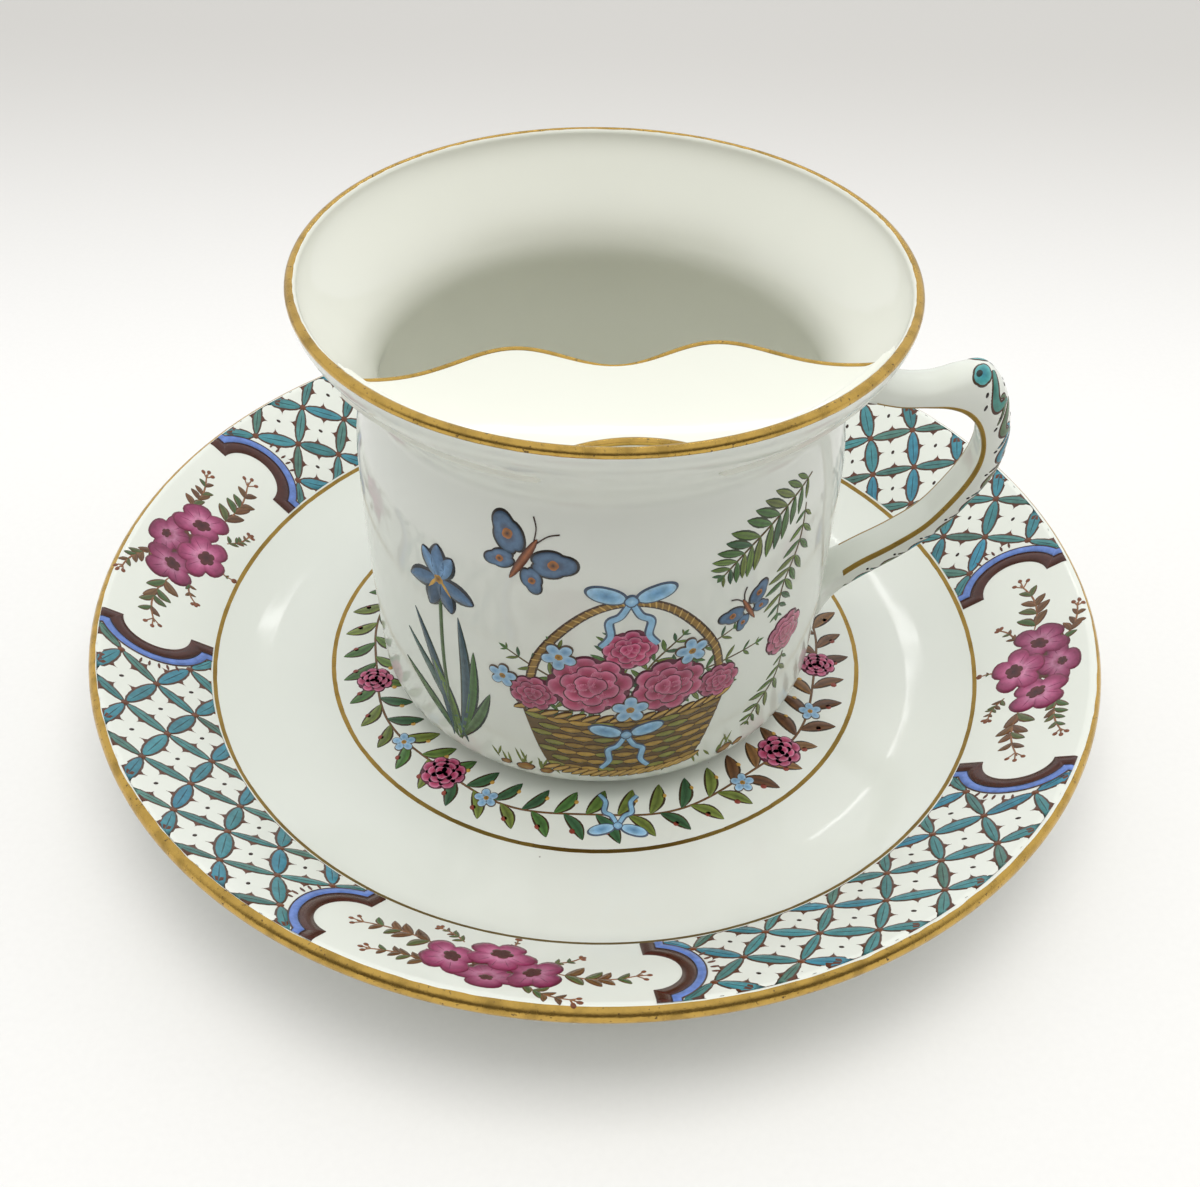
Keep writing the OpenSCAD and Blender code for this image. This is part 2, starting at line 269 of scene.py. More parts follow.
def cup_radius(c, z):
    """Outside radius at heights z above the foot: a belly of two parabolas, plus a flare that is
    part of a cosine wave, less the round of the lower corner."""
    up = (z - c.belly_h) / (c.flare_z - c.belly_h)
    down = (c.belly_h - z) / c.belly_h
    fall = np.where(z > c.belly_h, (c.belly_d - c.waist_d) * up**2, (c.belly_d - c.base_d) * down**2)
    turn = np.clip(FLARE_TURN * (z - c.flare_z) / (c.lip_z - c.flare_z), 0, 1)
    depth = np.clip(c.foot_h + c.corner_r - z, 0, c.corner_r)
    corner = c.corner_r - np.sqrt(c.corner_r**2 - depth**2)
    return (c.belly_d - fall) / 2 + c.flare_gain * (1 - np.cos(np.pi * turn)) / 2 - corner


def line_normals(line):
    """Unit normals on the right of a line of points, from the differences of its neighbours."""
    along = np.gradient(line, axis=0)
    along /= np.linalg.norm(along, axis=1)[:, None]
    return np.stack([along[:, 1], -along[:, 0]], axis=1)


def polar(r, a):
    """Points of a plane at radii r and angles a."""
    return np.stack([r * np.cos(a), r * np.sin(a)], axis=-1)


def rotation(turn):
    """Matrix that turns rows of points by an angle."""
    co, si = np.cos(turn), np.sin(turn)
    return np.array([[co, si], [-si, co]])


def arc(centre, radius, first, last, steps):
    """Points of a circle's arc between two angles in degrees."""
    return np.asarray(centre) + polar(radius, np.radians(np.linspace(first, last, steps)))


def line_lengths(line):
    """Distance along a line of points at each of them."""
    return np.concatenate([[0], np.cumsum(np.linalg.norm(np.diff(line, axis=0), axis=1))])


def line_at(line, t):
    """Points of a line at distances t along it."""
    own = line_lengths(line)
    return np.stack([np.interp(t, own, line[:, k]) for k in range(line.shape[1])], axis=1)


def wall_at(c, z):
    """Wall at heights z: even, and thinner by a power of the height over the last part up to the lip."""
    return c.wall - LIP_THINNED * np.clip((z - c.lip_z) / LIP_HEIGHT + 1, 0, 1) ** 1.5


def inner_wall(c):
    """The cup's inner wall from the floor's round up to the rim: the outside moved in by the wall."""
    z = c.foot_h + c.corner_r * (1 - np.cos(np.linspace(0.02, np.pi / 2, 16)))
    z = np.concatenate([z, np.linspace(z[-1], c.lip_z, 160)[1:]])
    outside = np.stack([cup_radius(c, z), z], axis=1)
    return outside - wall_at(c, z)[:, None] * line_normals(outside)


def cup_line(c):
    """Half section of the cup, from the middle of its underside round to the middle of its floor:
    foot ring, corner, body, flare, round rim, and the inside as the outside moved in by the wall."""
    foot_r = c.foot_d / 2
    hollow_r = foot_r - c.foot_w
    toe_r, root_r = 0.75, 1
    foot = np.concatenate(
        [
            [[0, c.foot_h], [hollow_r - 6, c.foot_h]],
            arc((hollow_r - 1.2, c.foot_h - root_r), root_r, 90, 20, 6),
            arc((hollow_r + toe_r, toe_r), toe_r, 200, 270, 5),
            arc((foot_r - toe_r, toe_r), toe_r, 270, 345, 5),
            arc((foot_r + 1.25, c.foot_h - 1.1), root_r, 160, 95, 5),
        ]
    )
    corner = c.foot_h + c.corner_r * (1 - np.cos(np.radians(np.linspace(4, 90, 16))))
    z = np.concatenate([corner, np.linspace(corner[-1], c.lip_z - 0.02, 110)[1:]])
    outside = np.stack([cup_radius(c, z), z], axis=1)
    out = line_normals(outside)
    wall = wall_at(c, z)
    inside = outside - wall[:, None] * out
    lean = np.degrees(np.arctan2(out[-1, 1], out[-1, 0]))
    rim = arc(outside[-1] - out[-1] * wall[-1] / 2, wall[-1] / 2, lean, lean + 180, 26)
    return np.concatenate([foot, outside, rim[1:-1], inside[::-1], [[0, inside[0, 1]]]])


def saucer_line(s, side, steps=20):
    """The well's curve and the border's slope, at a distance from the middle of the wall."""
    a = np.linspace(0, s.slope, steps)
    r = s.mid_curve_r - side
    bend = np.stack([s.well_r + r * np.sin(a), s.mid_z + s.mid_curve_r - r * np.cos(a)], axis=1)
    end = s.lip + side * np.array([-np.sin(s.slope), np.cos(s.slope)])
    return np.concatenate([bend, bend[-1] + (end - bend[-1]) * np.linspace(0, 1, 10)[1:, None]])


def saucer_half(s):
    """Half section of the saucer, from the middle of its underside round the lip to the well."""
    foot_r = s.foot_d / 2
    hollow_r = foot_r - s.foot_w
    toe_r, root_r = 0.9, 1.5
    under_z = s.mid_z - s.lip_r
    foot = np.concatenate(
        [
            [[0, under_z], [hollow_r - 8, under_z]],
            arc((hollow_r - 1.8, under_z - root_r), root_r, 90, 15, 7),
            arc((hollow_r + toe_r, toe_r), toe_r, 195, 270, 6),
            arc((foot_r - toe_r, toe_r), toe_r, 270, 345, 6),
            arc((foot_r + 1.7, under_z - 1.4), root_r, 165, 95, 7),
        ]
    )
    lean = np.degrees(s.slope)
    lip = arc(s.lip, s.lip_r, lean - 90, lean + 90, 30)
    top = saucer_line(s, s.lip_r)[::-1]
    return np.concatenate([foot, saucer_line(s, -s.lip_r), lip[1:-1], top, [[0, s.well_z]]])


def guard_top(g, x, y):
    """Height of the guard above the cup's foot: a barrel on its side, of the dish radius from front
    to back and of the side radius across."""
    r = g.dish_r - (g.dish_side_r - np.sqrt(g.dish_side_r**2 - x**2))
    return g.z + g.dish_r - np.sqrt(r**2 - (y + g.dish_y) ** 2)


def guard_edge(g, x):
    """Free edge of the guard: a straight line with two bell curves side by side on it."""
    bells = np.exp(-(((x - g.lobe_x) / g.lobe_w) ** 2)) + np.exp(-(((x + g.lobe_x) / g.lobe_w) ** 2))
    return -g.edge_y + g.lobe_rise * bells


def turned_to_guard(g, points):
    """Points in the guard's own axes, turned about the cup's axis to their place."""
    x, y, z = np.moveaxis(points, -1, 0)
    co, si = np.cos(g.turn), np.sin(g.turn)
    return np.stack([x * co - y * si, x * si + y * co, z], axis=-1)


def through(table, u):
    """Smooth curve through rows of a table (Catmull-Rom): u counts rows."""
    last = len(table) - 1
    i = np.clip(np.floor(u).astype(int), 0, last - 1)
    t = (u - i)[:, None]
    a, b, c, d = (table[np.clip(i + k, 0, last)] for k in (-1, 0, 1, 2))
    return b + t * ((c - a) + t * ((2 * a - 5 * b + 4 * c - d) + t * (3 * (b - c) + d - a))) / 2


def strap_points(sz, u, turn):
    """Surface of the strap at places u and angles turn: flat towards the finger, oval outside, and
    swelling to its roots by an exponential of the distance from the body."""
    c, h = sz.cup, sz.handle
    v = through(STRAP, u)
    belly_r = c.belly_d / 2
    rise = h.top_z - h.low_z
    inside = np.stack([belly_r + v[:, 0] * (h.reach - belly_r), h.low_z + v[:, 1] * rise], axis=1)
    outside = np.stack([belly_r + v[:, 2] * (h.reach - belly_r), h.low_z + v[:, 3] * rise], axis=1)
    widest = inside + STRAP_WIDEST * (outside - inside)
    off = np.clip(widest[:, 0] - cup_radius(c, widest[:, 1]), 0, None)
    swell = (1 + ROOT_SWELL * np.exp(-off / ROOT_FADE))[:, None]
    co, si = np.cos(turn), np.sin(turn)
    power = np.where(co > 0, STRAP_OUTER_POWER, STRAP_INNER_POWER)
    along = (np.sign(co) * np.abs(co) ** power)[None, :, None]
    across = (np.sign(si) * np.abs(si) ** power)[None, :]
    reach = np.where(along > 0, (outside - widest)[:, None, :], (widest - inside)[:, None, :])
    rz = widest[:, None, :] + along * reach * swell[:, None, :]
    width = (v[:, 4] * h.width)[:, None] * swell
    return np.stack([rz[..., 0], width * across, rz[..., 1] + c.well_z], axis=-1)


# Meshes


def grid_faces(rows, columns, wrap=False, start=0):
    """Faces of a grid of points, as rows of four numbers. The columns may close in a ring."""
    i = np.arange(rows - 1)[:, None]
    j = np.arange(columns if wrap else columns - 1)[None, :]
    k = (j + 1) % columns
    corners = [i * columns + j, i * columns + k, (i + 1) * columns + k, (i + 1) * columns + j]
    return np.stack([np.broadcast_to(q, np.broadcast(i, j).shape).ravel() for q in corners], axis=1) + start


def fan_faces(pole, ring, outward=True):
    """Triangles from a pole to a ring of points."""
    after = np.roll(ring, -1)
    pair = (ring, after) if outward else (after, ring)
    return np.stack([np.full(len(ring), pole), *pair], axis=1)


def new_piece(name, shape, material, body, replaced=()):
    """Makes a mesh object from its points in millimetres and its lists of faces, hangs it under the empty
    of the body that carries it, and hides the nodes that it stands for."""
    points, faces = shape
    mesh = bpy.data.meshes.new(name)
    mesh.from_pydata((points * MM).tolist(), [], [f for block in faces for f in block.tolist()])
    mesh.polygons.foreach_set("use_smooth", np.ones(len(mesh.polygons), bool))
    mesh.update()
    for one in material if isinstance(material, (list, tuple)) else [material]:
        mesh.materials.append(one)
    piece = bpy.data.objects.new(name, mesh)
    bpy.context.scene.collection.objects.link(piece)
    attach(piece, body)
    if replaced:
        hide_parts(*replaced)
    return piece


def tube_faces(rows, columns):
    """Faces of a tube of rings that two poles, listed after its points, close at its first and last."""
    last = (rows - 1) * columns + np.arange(columns)
    pole = rows * columns
    sides = grid_faces(rows, columns, wrap=True)
    return [sides, fan_faces(pole, np.arange(columns), outward=False), fan_faces(pole + 1, last)]


def turned_mesh(line, steps):
    """Surface of revolution about +Z of a line that starts and ends on the axis, where one point
    closes it. A point (r, z) goes round as (r cos a, r sin a, z)."""
    a = np.arange(steps) * 2 * np.pi / steps
    inner = line[1:-1]
    rings = np.stack([inner[:, :1] * np.cos(a), inner[:, :1] * np.sin(a), inner[:, 1:] + 0 * a], axis=-1)
    poles = [[0, 0, line[0, 1]], [0, 0, line[-1, 1]]]
    return np.concatenate([rings.reshape(-1, 3), poles]), tube_faces(len(inner), steps)


def loft_mesh(rings):
    """Closed tube through rings (rows, columns, 3), with a point at the middle of each end ring."""
    ends = [rings[0].mean(axis=0), rings[-1].mean(axis=0)]
    return np.concatenate([rings.reshape(-1, 3), ends]), tube_faces(*rings.shape[:2])


def swept_rings(path, half_width, half_height):
    """Oval sections square to a path: half_width lies level and half_height upwards, both per point."""
    along = np.gradient(path, axis=0)
    along /= np.linalg.norm(along, axis=1)[:, None]
    side = np.cross(along, (0.0, 0.0, 1.0))
    side /= np.linalg.norm(side, axis=1)[:, None]
    rise = np.cross(side, along)
    a = np.arange(14) * 2 * np.pi / 14
    across = side[:, None] * (np.cos(a)[None, :, None] * half_width[:, None, None])
    upward = rise[:, None] * (np.sin(a)[None, :, None] * half_height[:, None, None])
    return path[:, None] + across + upward


def uneven(count, rng):
    """A ring of numbers from 0 to 1 that is mostly small, with a few deep notches: a sum of waves with
    their phases drawn, raised to a power."""
    a = np.arange(count) * 2 * np.pi / count
    k = np.arange(3, 150)[:, None]
    wave = (np.sin(k * a + rng.uniform(0, 2 * np.pi, k.shape)) / k**0.45).sum(axis=0)
    wave = (wave - wave.min()) / (wave.max() - wave.min())
    return wave**2.2


def gold_strip_mesh(line, steps, first, last, worn, wider=0.0):
    """Gilt strip turned about +Z, on a half section between two distances along it: on the surface in
    its middle, dipping under the glaze at both edges, and flat beneath. Wear takes its last edge back,
    and the brush went further in at the front on the left."""
    rng = np.random.default_rng(1)
    a = np.arange(steps) * 2 * np.pi / steps
    end = last - worn * uneven(steps, rng) + wider * (1 + np.cos(a - FRONT_LEFT)) / 2
    start = first + 0.4 * worn * uneven(steps, rng)
    u = np.linspace(0, 1, 20)[:, None]
    t = start + (end - start) * u
    own = line_lengths(line)
    out = line_normals(line)
    r, z, out_r, out_z = (np.interp(t, own, q) for q in (line[:, 0], line[:, 1], out[:, 0], out[:, 1]))
    # Flat in its middle, and 0.14 mm under the given line at its edges
    rise = GOLD_RISE - (GOLD_SINK + 0.08) * np.abs(2 * u - 1) ** 9
    r = np.concatenate([r + out_r * rise, (r - out_r * GOLD_THICK)[::-1]])
    z = np.concatenate([z + out_z * rise, (z - out_z * GOLD_THICK)[::-1]])
    points = np.stack([r * np.cos(a), r * np.sin(a), z], axis=-1)
    faces = grid_faces(len(r) + 1, steps, wrap=True) % (len(r) * steps)
    return points.reshape(-1, 3), [faces]


def strip_core(first, last, worn, *_):
    """Part of a gilt strip that wear doesn't reach: its first and last distance along the section."""
    return first + 0.3, last - worn - 0.15


def sunk_line(line, strips):
    """A half section whose glaze lies a little deeper under its gilt strips, with points added at the
    strips' edges."""
    margin, edge = 0.25, 0.15
    t = line_lengths(line)
    extra = [np.linspace(first - margin, last + margin, 26) for first, last in strips]
    t = np.unique(np.concatenate([t, *extra]).round(4))
    new = line_at(line, t)
    depth = np.zeros(len(t))
    for first, last in strips:
        inside = np.clip((t - first) / edge, 0, 1) * np.clip((last - t) / edge, 0, 1)
        depth = np.maximum(depth, GOLD_SINK * inside)
    moved = new - line_normals(new) * depth[:, None]
    moved[[0, -1]] = new[[0, -1]]
    return moved


# Materials


def add_node(tree, kind, settings=None, **inputs):
    """Adds one node: settings are its own properties, and each input takes a value or a socket.
    Underscores in an input's name stand for spaces, and in0, in6 and so on are inputs by number."""
    node = tree.nodes.new(kind)
    for key, value in (settings or {}).items():
        setattr(node, key, value)
    for key, value in inputs.items():
        numbered = key.startswith("in") and key[2:].isdigit()
        socket = node.inputs[int(key[2:]) if numbered else key.replace("_", " ")]
        if isinstance(value, bpy.types.NodeSocket):
            tree.links.new(value, socket)
        else:
            socket.default_value = value
    return node


def new_material(name):
    """An empty node material and its tree, to fill."""
    material = bpy.data.materials.new(name)
    material.use_nodes = True
    material.node_tree.nodes.clear()
    return material, material.node_tree


def rgba(values):
    """Red, green and blue with a full fourth value, as the nodes take them."""
    return (*values, 1.0)


COLOURS = {"data_type": "RGBA"}
SMOOTH_STEP = {"interpolation_type": "SMOOTHSTEP"}


def glazed_china(name, base, roughness):
    """Bone china under a clear lead glaze, dipped and fired: pure white with the faintest cloud in it,
    a mirror gloss with a slow ripple where the glaze ran, and a few dark kiln specks."""
    material, tree = new_material(name)
    place = add_node(tree, "ShaderNodeTexCoord").outputs["Object"]
    # Clouding of the body, about 12 mm across
    cloud = add_node(tree, "ShaderNodeTexNoise", Vector=place, Scale=85.0, Detail=3.0).outputs["Fac"]
    clouded = [v * k for v, k in zip(base, (0.972, 0.976, 0.972))]
    tint = add_node(tree, "ShaderNodeMix", COLOURS, in0=cloud, in6=rgba(base), in7=rgba(clouded))
    # Kiln specks 0.3 mm across, one in about 12 mm
    cells = add_node(tree, "ShaderNodeTexVoronoi", {"feature": "F1"}, Vector=place, Scale=85.0)
    ends = {"From_Min": 0.016, "From_Max": 0.008, "To_Min": 0.0, "To_Max": 0.6}
    speck = add_node(tree, "ShaderNodeMapRange", SMOOTH_STEP, Value=cells.outputs["Distance"], **ends)
    brown = rgba(linear("#5b4a3a"))
    specked = add_node(
        tree, "ShaderNodeMix", COLOURS, in0=speck.outputs["Result"], in6=tint.outputs[2], in7=brown
    )
    # Ripple of the glaze, 9 mm from crest to crest and about 0.02 mm high
    ripple = add_node(tree, "ShaderNodeTexNoise", Vector=place, Scale=110.0, Detail=1.0).outputs["Fac"]
    bump = add_node(tree, "ShaderNodeBump", Strength=0.05, Distance=0.001, Height=ripple).outputs["Normal"]
    shader = add_node(
        tree,
        "ShaderNodeBsdfPrincipled",
        Base_Color=specked.outputs[2],
        Roughness=roughness,
        IOR=1.52,
        Normal=bump,
    )
    add_node(tree, "ShaderNodeOutputMaterial", Surface=shader.outputs["BSDF"])
    return material


def burnished_gold(name, bright, dark, roughness, wear):
    """Gold fired on the glaze and burnished with agate: warm amber metal, stained brown in patches and
    rubbed through to dark pits where fingers and cloths wear it."""
    material, tree = new_material(name)
    place = add_node(tree, "ShaderNodeTexCoord").outputs["Object"]
    # Patches of stain, about 3 mm across
    stain = add_node(tree, "ShaderNodeTexNoise", Vector=place, Scale=330.0, Detail=4.0).outputs["Fac"]
    ends = {"From_Min": 0.45, "From_Max": 0.78, "To_Min": 0.0, "To_Max": 0.6}
    stained = add_node(tree, "ShaderNodeMapRange", Value=stain, **ends).outputs["Result"]
    tint = add_node(tree, "ShaderNodeMix", COLOURS, in0=stained, in6=rgba(bright), in7=rgba(dark))
    # Pits and rubs, about 0.5 mm across
    pits = add_node(tree, "ShaderNodeTexNoise", Vector=place, Scale=1900.0, Detail=3.0).outputs["Fac"]
    ends = {"From_Min": 0.70 - wear, "From_Max": 0.78 - wear, "To_Min": 0.0, "To_Max": 0.9}
    pitted = add_node(tree, "ShaderNodeMapRange", Value=pits, **ends).outputs["Result"]
    brown = rgba(linear("#4a3217"))
    rubbed = add_node(tree, "ShaderNodeMix", COLOURS, in0=pitted, in6=tint.outputs[2], in7=brown)
    metal = add_node(tree, "ShaderNodeMapRange", Value=pitted, To_Min=1.0, To_Max=0.3)
    ends = {"From_Min": 0.3, "From_Max": 0.7, "To_Min": roughness, "To_Max": roughness + 0.16}
    rough = add_node(tree, "ShaderNodeMapRange", Value=stain, **ends)
    bump = add_node(tree, "ShaderNodeBump", Strength=0.2, Distance=0.0002, Height=pits)
    shader = add_node(
        tree,
        "ShaderNodeBsdfPrincipled",
        Base_Color=rubbed.outputs[2],
        Metallic=metal.outputs["Result"],
        Roughness=rough.outputs["Result"],
        Normal=bump.outputs["Normal"],
    )
    add_node(tree, "ShaderNodeOutputMaterial", Surface=shader.outputs["BSDF"])
    return material


def fired_enamel(name, roughness):
    """Enamel colours laid on the glaze with a brush and fired again: they stand a little proud of the
    china, mottle where the wash ran thick or thin, and shine a little less than the glaze. The colours
    come from the strokes' own paint attribute."""
    material, tree = new_material(name)
    place = add_node(tree, "ShaderNodeTexCoord").outputs["Object"]
    paint = add_node(tree, "ShaderNodeVertexColor", {"layer_name": "paint"}).outputs["Color"]
    # Wash of the brush, from 1.5 mm down to 0.2 mm
    brushed = add_node(tree, "ShaderNodeTexNoise", Vector=place, Scale=700.0, Detail=4.0, Roughness=0.62)
    wash = brushed.outputs["Fac"]
    ends = {"From_Min": 0.3, "From_Max": 0.7, "To_Min": 0.74, "To_Max": 1.2}
    tone = add_node(tree, "ShaderNodeMapRange", Value=wash, **ends).outputs["Result"]
    multiply = {**COLOURS, "blend_type": "MULTIPLY"}
    mottled = add_node(tree, "ShaderNodeMix", multiply, in0=1.0, in6=paint, in7=tone)
    bump = add_node(tree, "ShaderNodeBump", Strength=0.2, Distance=0.0001, Height=wash).outputs["Normal"]
    shader = add_node(
        tree,
        "ShaderNodeBsdfPrincipled",
        Base_Color=mottled.outputs[2],
        Roughness=roughness,
        IOR=1.52,
        Normal=bump,
    )
    add_node(tree, "ShaderNodeOutputMaterial", Surface=shader.outputs["BSDF"])
    return material


def matt_board(name, base):
    """Pale matt card for the floor: a faint tooth about 1 mm across, with no gloss, and painted shade that
    greys it towards the back.
    """
    material, tree = new_material(name)
    place = add_node(tree, "ShaderNodeTexCoord").outputs["Object"]
    tooth = add_node(tree, "ShaderNodeTexNoise", Vector=place, Scale=900.0, Detail=2.0).outputs["Fac"]
    shaded = rgba([v * 0.965 for v in base])
    tint = add_node(tree, "ShaderNodeMix", COLOURS, in0=tooth, in6=rgba(base), in7=shaded)
    # Painted shade: the floor's colour turns grey from 60 to 300 mm behind the object's middle, standing in
    # for light that falls off towards the back
    along = add_node(tree, "ShaderNodeSeparateXYZ", Vector=place).outputs["Y"]
    painted_shade_ramp = add_node(tree, "ShaderNodeMapRange", SMOOTH_STEP, Value=along, From_Min=0.06, From_Max=0.30)
    share, painted_shade_grey = painted_shade_ramp.outputs["Result"], rgba(linear("#cfcdc9"))
    painted_shade_floor = add_node(tree, "ShaderNodeMix", COLOURS, in0=share, in6=tint.outputs[2], in7=painted_shade_grey)
    shader = add_node(tree, "ShaderNodeBsdfPrincipled", Base_Color=painted_shade_floor.outputs[2], Roughness=0.8, IOR=1.3)
    add_node(tree, "ShaderNodeOutputMaterial", Surface=shader.outputs["BSDF"])
    return material


def shared_material(key):
    """The named finish, made once from the colours in the panel."""
    found = bpy.data.materials.get(key)
    if found:
        return found
    looks = bpy.context.scene.china_looks
    if key == "china_outside":
        return glazed_china(key, looks.outside, looks.glaze_roughness)
    if key == "china_inside":
        return glazed_china(key, looks.inside, looks.glaze_roughness)
    if key == "gold_worn":
        return burnished_gold(key, looks.gold, looks.gold_dark, looks.gold_roughness, wear=0.06)
    if key == "gold_line":
        # A thin line takes less gold and no burnisher's pressure: it is darker and duller
        thin = [v * 0.62 for v in looks.gold]
        return burnished_gold(key, thin, looks.gold_dark, looks.gold_roughness + 0.12, wear=0.05)
    if key == "enamel":
        return fired_enamel(key, bpy.context.scene.china_enamels.roughness)
    raise ValueError(f"no finish is called {key}")


# Painting in enamel


def curve(points, steps=24):
    """A smooth path through a few points."""
    points = np.asarray(points, float)
    return through(points, np.linspace(0, len(points) - 1, steps))


def shade(code, share=1.0):
    """A hex colour as linear values, made darker or lighter."""
    return np.clip(np.array(linear(code)) * share, 0, 1)


def shades(*codes, share=1.0):
    """Rows of linear values for several hex colours."""
    return np.array([shade(code, share) for code in codes])


# Which of the five points across a stroke stand on the glaze, and how deep the others lie, in mm
INKED = np.array([False, True, True, True, False])
SUNK = -0.03


def height(layer):
    """Height of a layer of enamel over the glaze, in mm."""
    return 0.035 + 0.014 * layer


def stroke_heights(layer):
    """Heights of the five points across a stroke of a layer."""
    return np.where(INKED, height(layer), SUNK)


class Painting:
    """Brush strokes in a flat plane, in millimetres, kept until a surface carries them. A stroke is a
    grid of points whose borders dip under the glaze, with a colour at each point."""

    def __init__(self, warp=None):
        self.strokes = []
        self.warp = warp or (lambda xy: xy)

    def lay(self, xy, high, tint):
        """Adds a batch of grids (..., rows, columns, 2) with heights and colours to match."""
        xy = self.warp(np.asarray(xy, float))
        shape = xy.shape[:-1]
        grid = shape[-2:]
        high = np.broadcast_to(high, shape).reshape(-1, *grid)
        tint = np.broadcast_to(tint, (*shape, 3)).reshape(-1, *grid, 3)
        self.strokes.append((xy.reshape(-1, *grid, 2), high, tint))

    def stroke(self, path, width, layer, tint, taper=0.0):
        """Brush line along a path, thinner at both ends by the taper."""
        t = np.linspace(0, 1, len(path))
        half = width / 2 * ((1 - taper) + taper * np.sin(np.pi * t) ** 0.6)
        across = np.array([-1, -0.7, 0, 0.7, 1])[None, :] * half[:, None]
        xy = path[:, None] + line_normals(path)[:, None] * across[..., None]
        self.lay(xy, stroke_heights(layer), tint)

    def edged_stroke(self, path, widths, layer, edge, tint, taper=0.0):
        """Brush line over a wider and darker one, which shows as its edge."""
        self.stroke(path, widths[0], layer, edge, taper)
        self.stroke(path, widths[1], layer + 1, tint, taper)

    def leaf(self, start, end, width, layer, tint, vein=None, bend=0.0, power=1.0, steps=9):
        """Leaves from start to end, as wide as a power of a half sine wave, with a darker vein and a
        bend to one side. Starts and ends may be whole arrays of places."""
        start, end = np.atleast_2d(np.asarray(start, float)), np.atleast_2d(np.asarray(end, float))
        along = end - start
        size = np.linalg.norm(along, axis=-1, keepdims=True)
        side = np.stack([along[:, 1], -along[:, 0]], axis=-1) / size
        t = (1 - np.cos(np.pi * np.linspace(0, 1, steps))) / 2
        wave = np.sin(np.pi * t)
        axis = start[:, None] + along[:, None] * t[None, :, None]
        axis = axis + side[:, None] * (bend * size * wave[None, :])[..., None]
        half = np.asarray(width, float).reshape(-1, 1) / 2 * wave[None, :] ** power
        half = np.broadcast_to(half, (len(start), steps))
        across = np.array([-1, -0.72, 0, 0.72, 1])
        xy = axis[:, :, None] + side[:, None, None] * (half[:, :, None] * across)[..., None]
        tint = np.asarray(tint, float).reshape(-1, 1, 1, 3)
        tints = np.broadcast_to(tint, (len(start), steps, 5, 3)).copy()
        if vein is not None:
            tints[:, :, 2] = np.asarray(vein, float).reshape(-1, 1, 3)
        self.lay(xy, stroke_heights(layer), tints)

    def edged_leaf(self, start, end, widths, layer, edge, tint, vein, **form):
        """Leaves over wider and darker ones, which show as their edges."""
        self.leaf(start, end, widths[0], layer, edge, **form)
        self.leaf(start, end, widths[1], layer + 1, tint, vein=vein, **form)

    def blossom(self, centre, radius, lobes, layer, tints, turn=0.0, squash=1.0, depth=0.2, phase=0.0):
        """Round shape with a lobed edge: the radius falls between the lobes. Its colours run from the
        middle to the edge."""
        a = np.linspace(0, 2 * np.pi, 41)
        edge = 1 - depth * (1 - np.abs(np.cos(lobes * (a - phase) / 2))) ** 1.6
        rings = np.array([0, 0.3, 0.55, 0.78, 0.93, 1.0])
        x = radius * rings[:, None] * edge * np.cos(a)
        y = radius * squash * rings[:, None] * edge * np.sin(a)
        co, si = np.cos(turn), np.sin(turn)
        xy = np.stack([x * co - y * si, x * si + y * co], axis=-1) + np.asarray(centre, float)
        tints = np.asarray(tints, float).reshape(-1, 3)
        own = np.linspace(0, 1, len(tints))
        tint = np.stack([np.interp(rings, own, tints[:, k]) for k in range(3)], axis=-1)
        self.lay(xy, np.where(rings < 1, height(layer), SUNK)[:, None], tint[:, None])

    def edged_blossom(self, centre, radii, lobes, layer, edge, tints, *form):
        """Blossom over a larger and darker one, which shows as its edge."""
        self.blossom(centre, radii[0], lobes, layer, edge, *form)
        self.blossom(centre, radii[1], lobes, layer + 1, tints, *form)

    def dots(self, centres, radius, layer, tint, squash=1.0, turn=None):
        """Many small ovals at once."""
        centres = np.atleast_2d(np.asarray(centres, float))
        a = np.linspace(0, 2 * np.pi, 11)
        rings = np.array([0, 0.7, 1.0])
        x, y = rings[:, None] * np.cos(a) * radius, rings[:, None] * np.sin(a) * radius * squash
        turn = np.zeros(len(centres)) if turn is None else np.asarray(turn, float)
        co, si = np.cos(turn)[:, None, None], np.sin(turn)[:, None, None]
        xy = np.stack([x * co - y * si, x * si + y * co], axis=-1) + centres[:, None, None]
        self.lay(xy, np.where(rings < 1, height(layer), SUNK)[:, None], np.asarray(tint, float))

    def piece(self, name, place, body, slot):
        """Carries every stroke onto a surface and makes one mesh of them, with the colours in its
        paint attribute. place takes points in the plane and their height over the glaze."""
        points, faces, tints, start = [], [], [], 0
        for xy, high, tint in self.strokes:
            count, rows, columns = xy.shape[:3]
            grid = grid_faces(rows, columns)
            ax, ay = np.moveaxis(xy[:, 1:, :-1] - xy[:, :-1, :-1], -1, 0)
            bx, by = np.moveaxis(xy[:, :-1, 1:] - xy[:, :-1, :-1], -1, 0)
            turned_over = (ax * by - ay * bx).sum(axis=(1, 2)) > 0
            block = np.where(turned_over[:, None, None], grid[None, :, ::-1], grid[None])
            faces.append((block + start + (np.arange(count) * rows * columns)[:, None, None]).reshape(-1, 4))
            points.append(place(xy.reshape(-1, 2), high.reshape(-1)))
            tints.append(tint.reshape(-1, 3))
            start += count * rows * columns
        made = new_piece(name, (np.concatenate(points), faces), shared_material("enamel"), body)
        layer = made.data.color_attributes.new("paint", "FLOAT_COLOR", "POINT")
        paint = np.concatenate(tints)
        layer.data.foreach_set("color", np.concatenate([paint, np.ones((len(paint), 1))], axis=1).ravel())
        return made


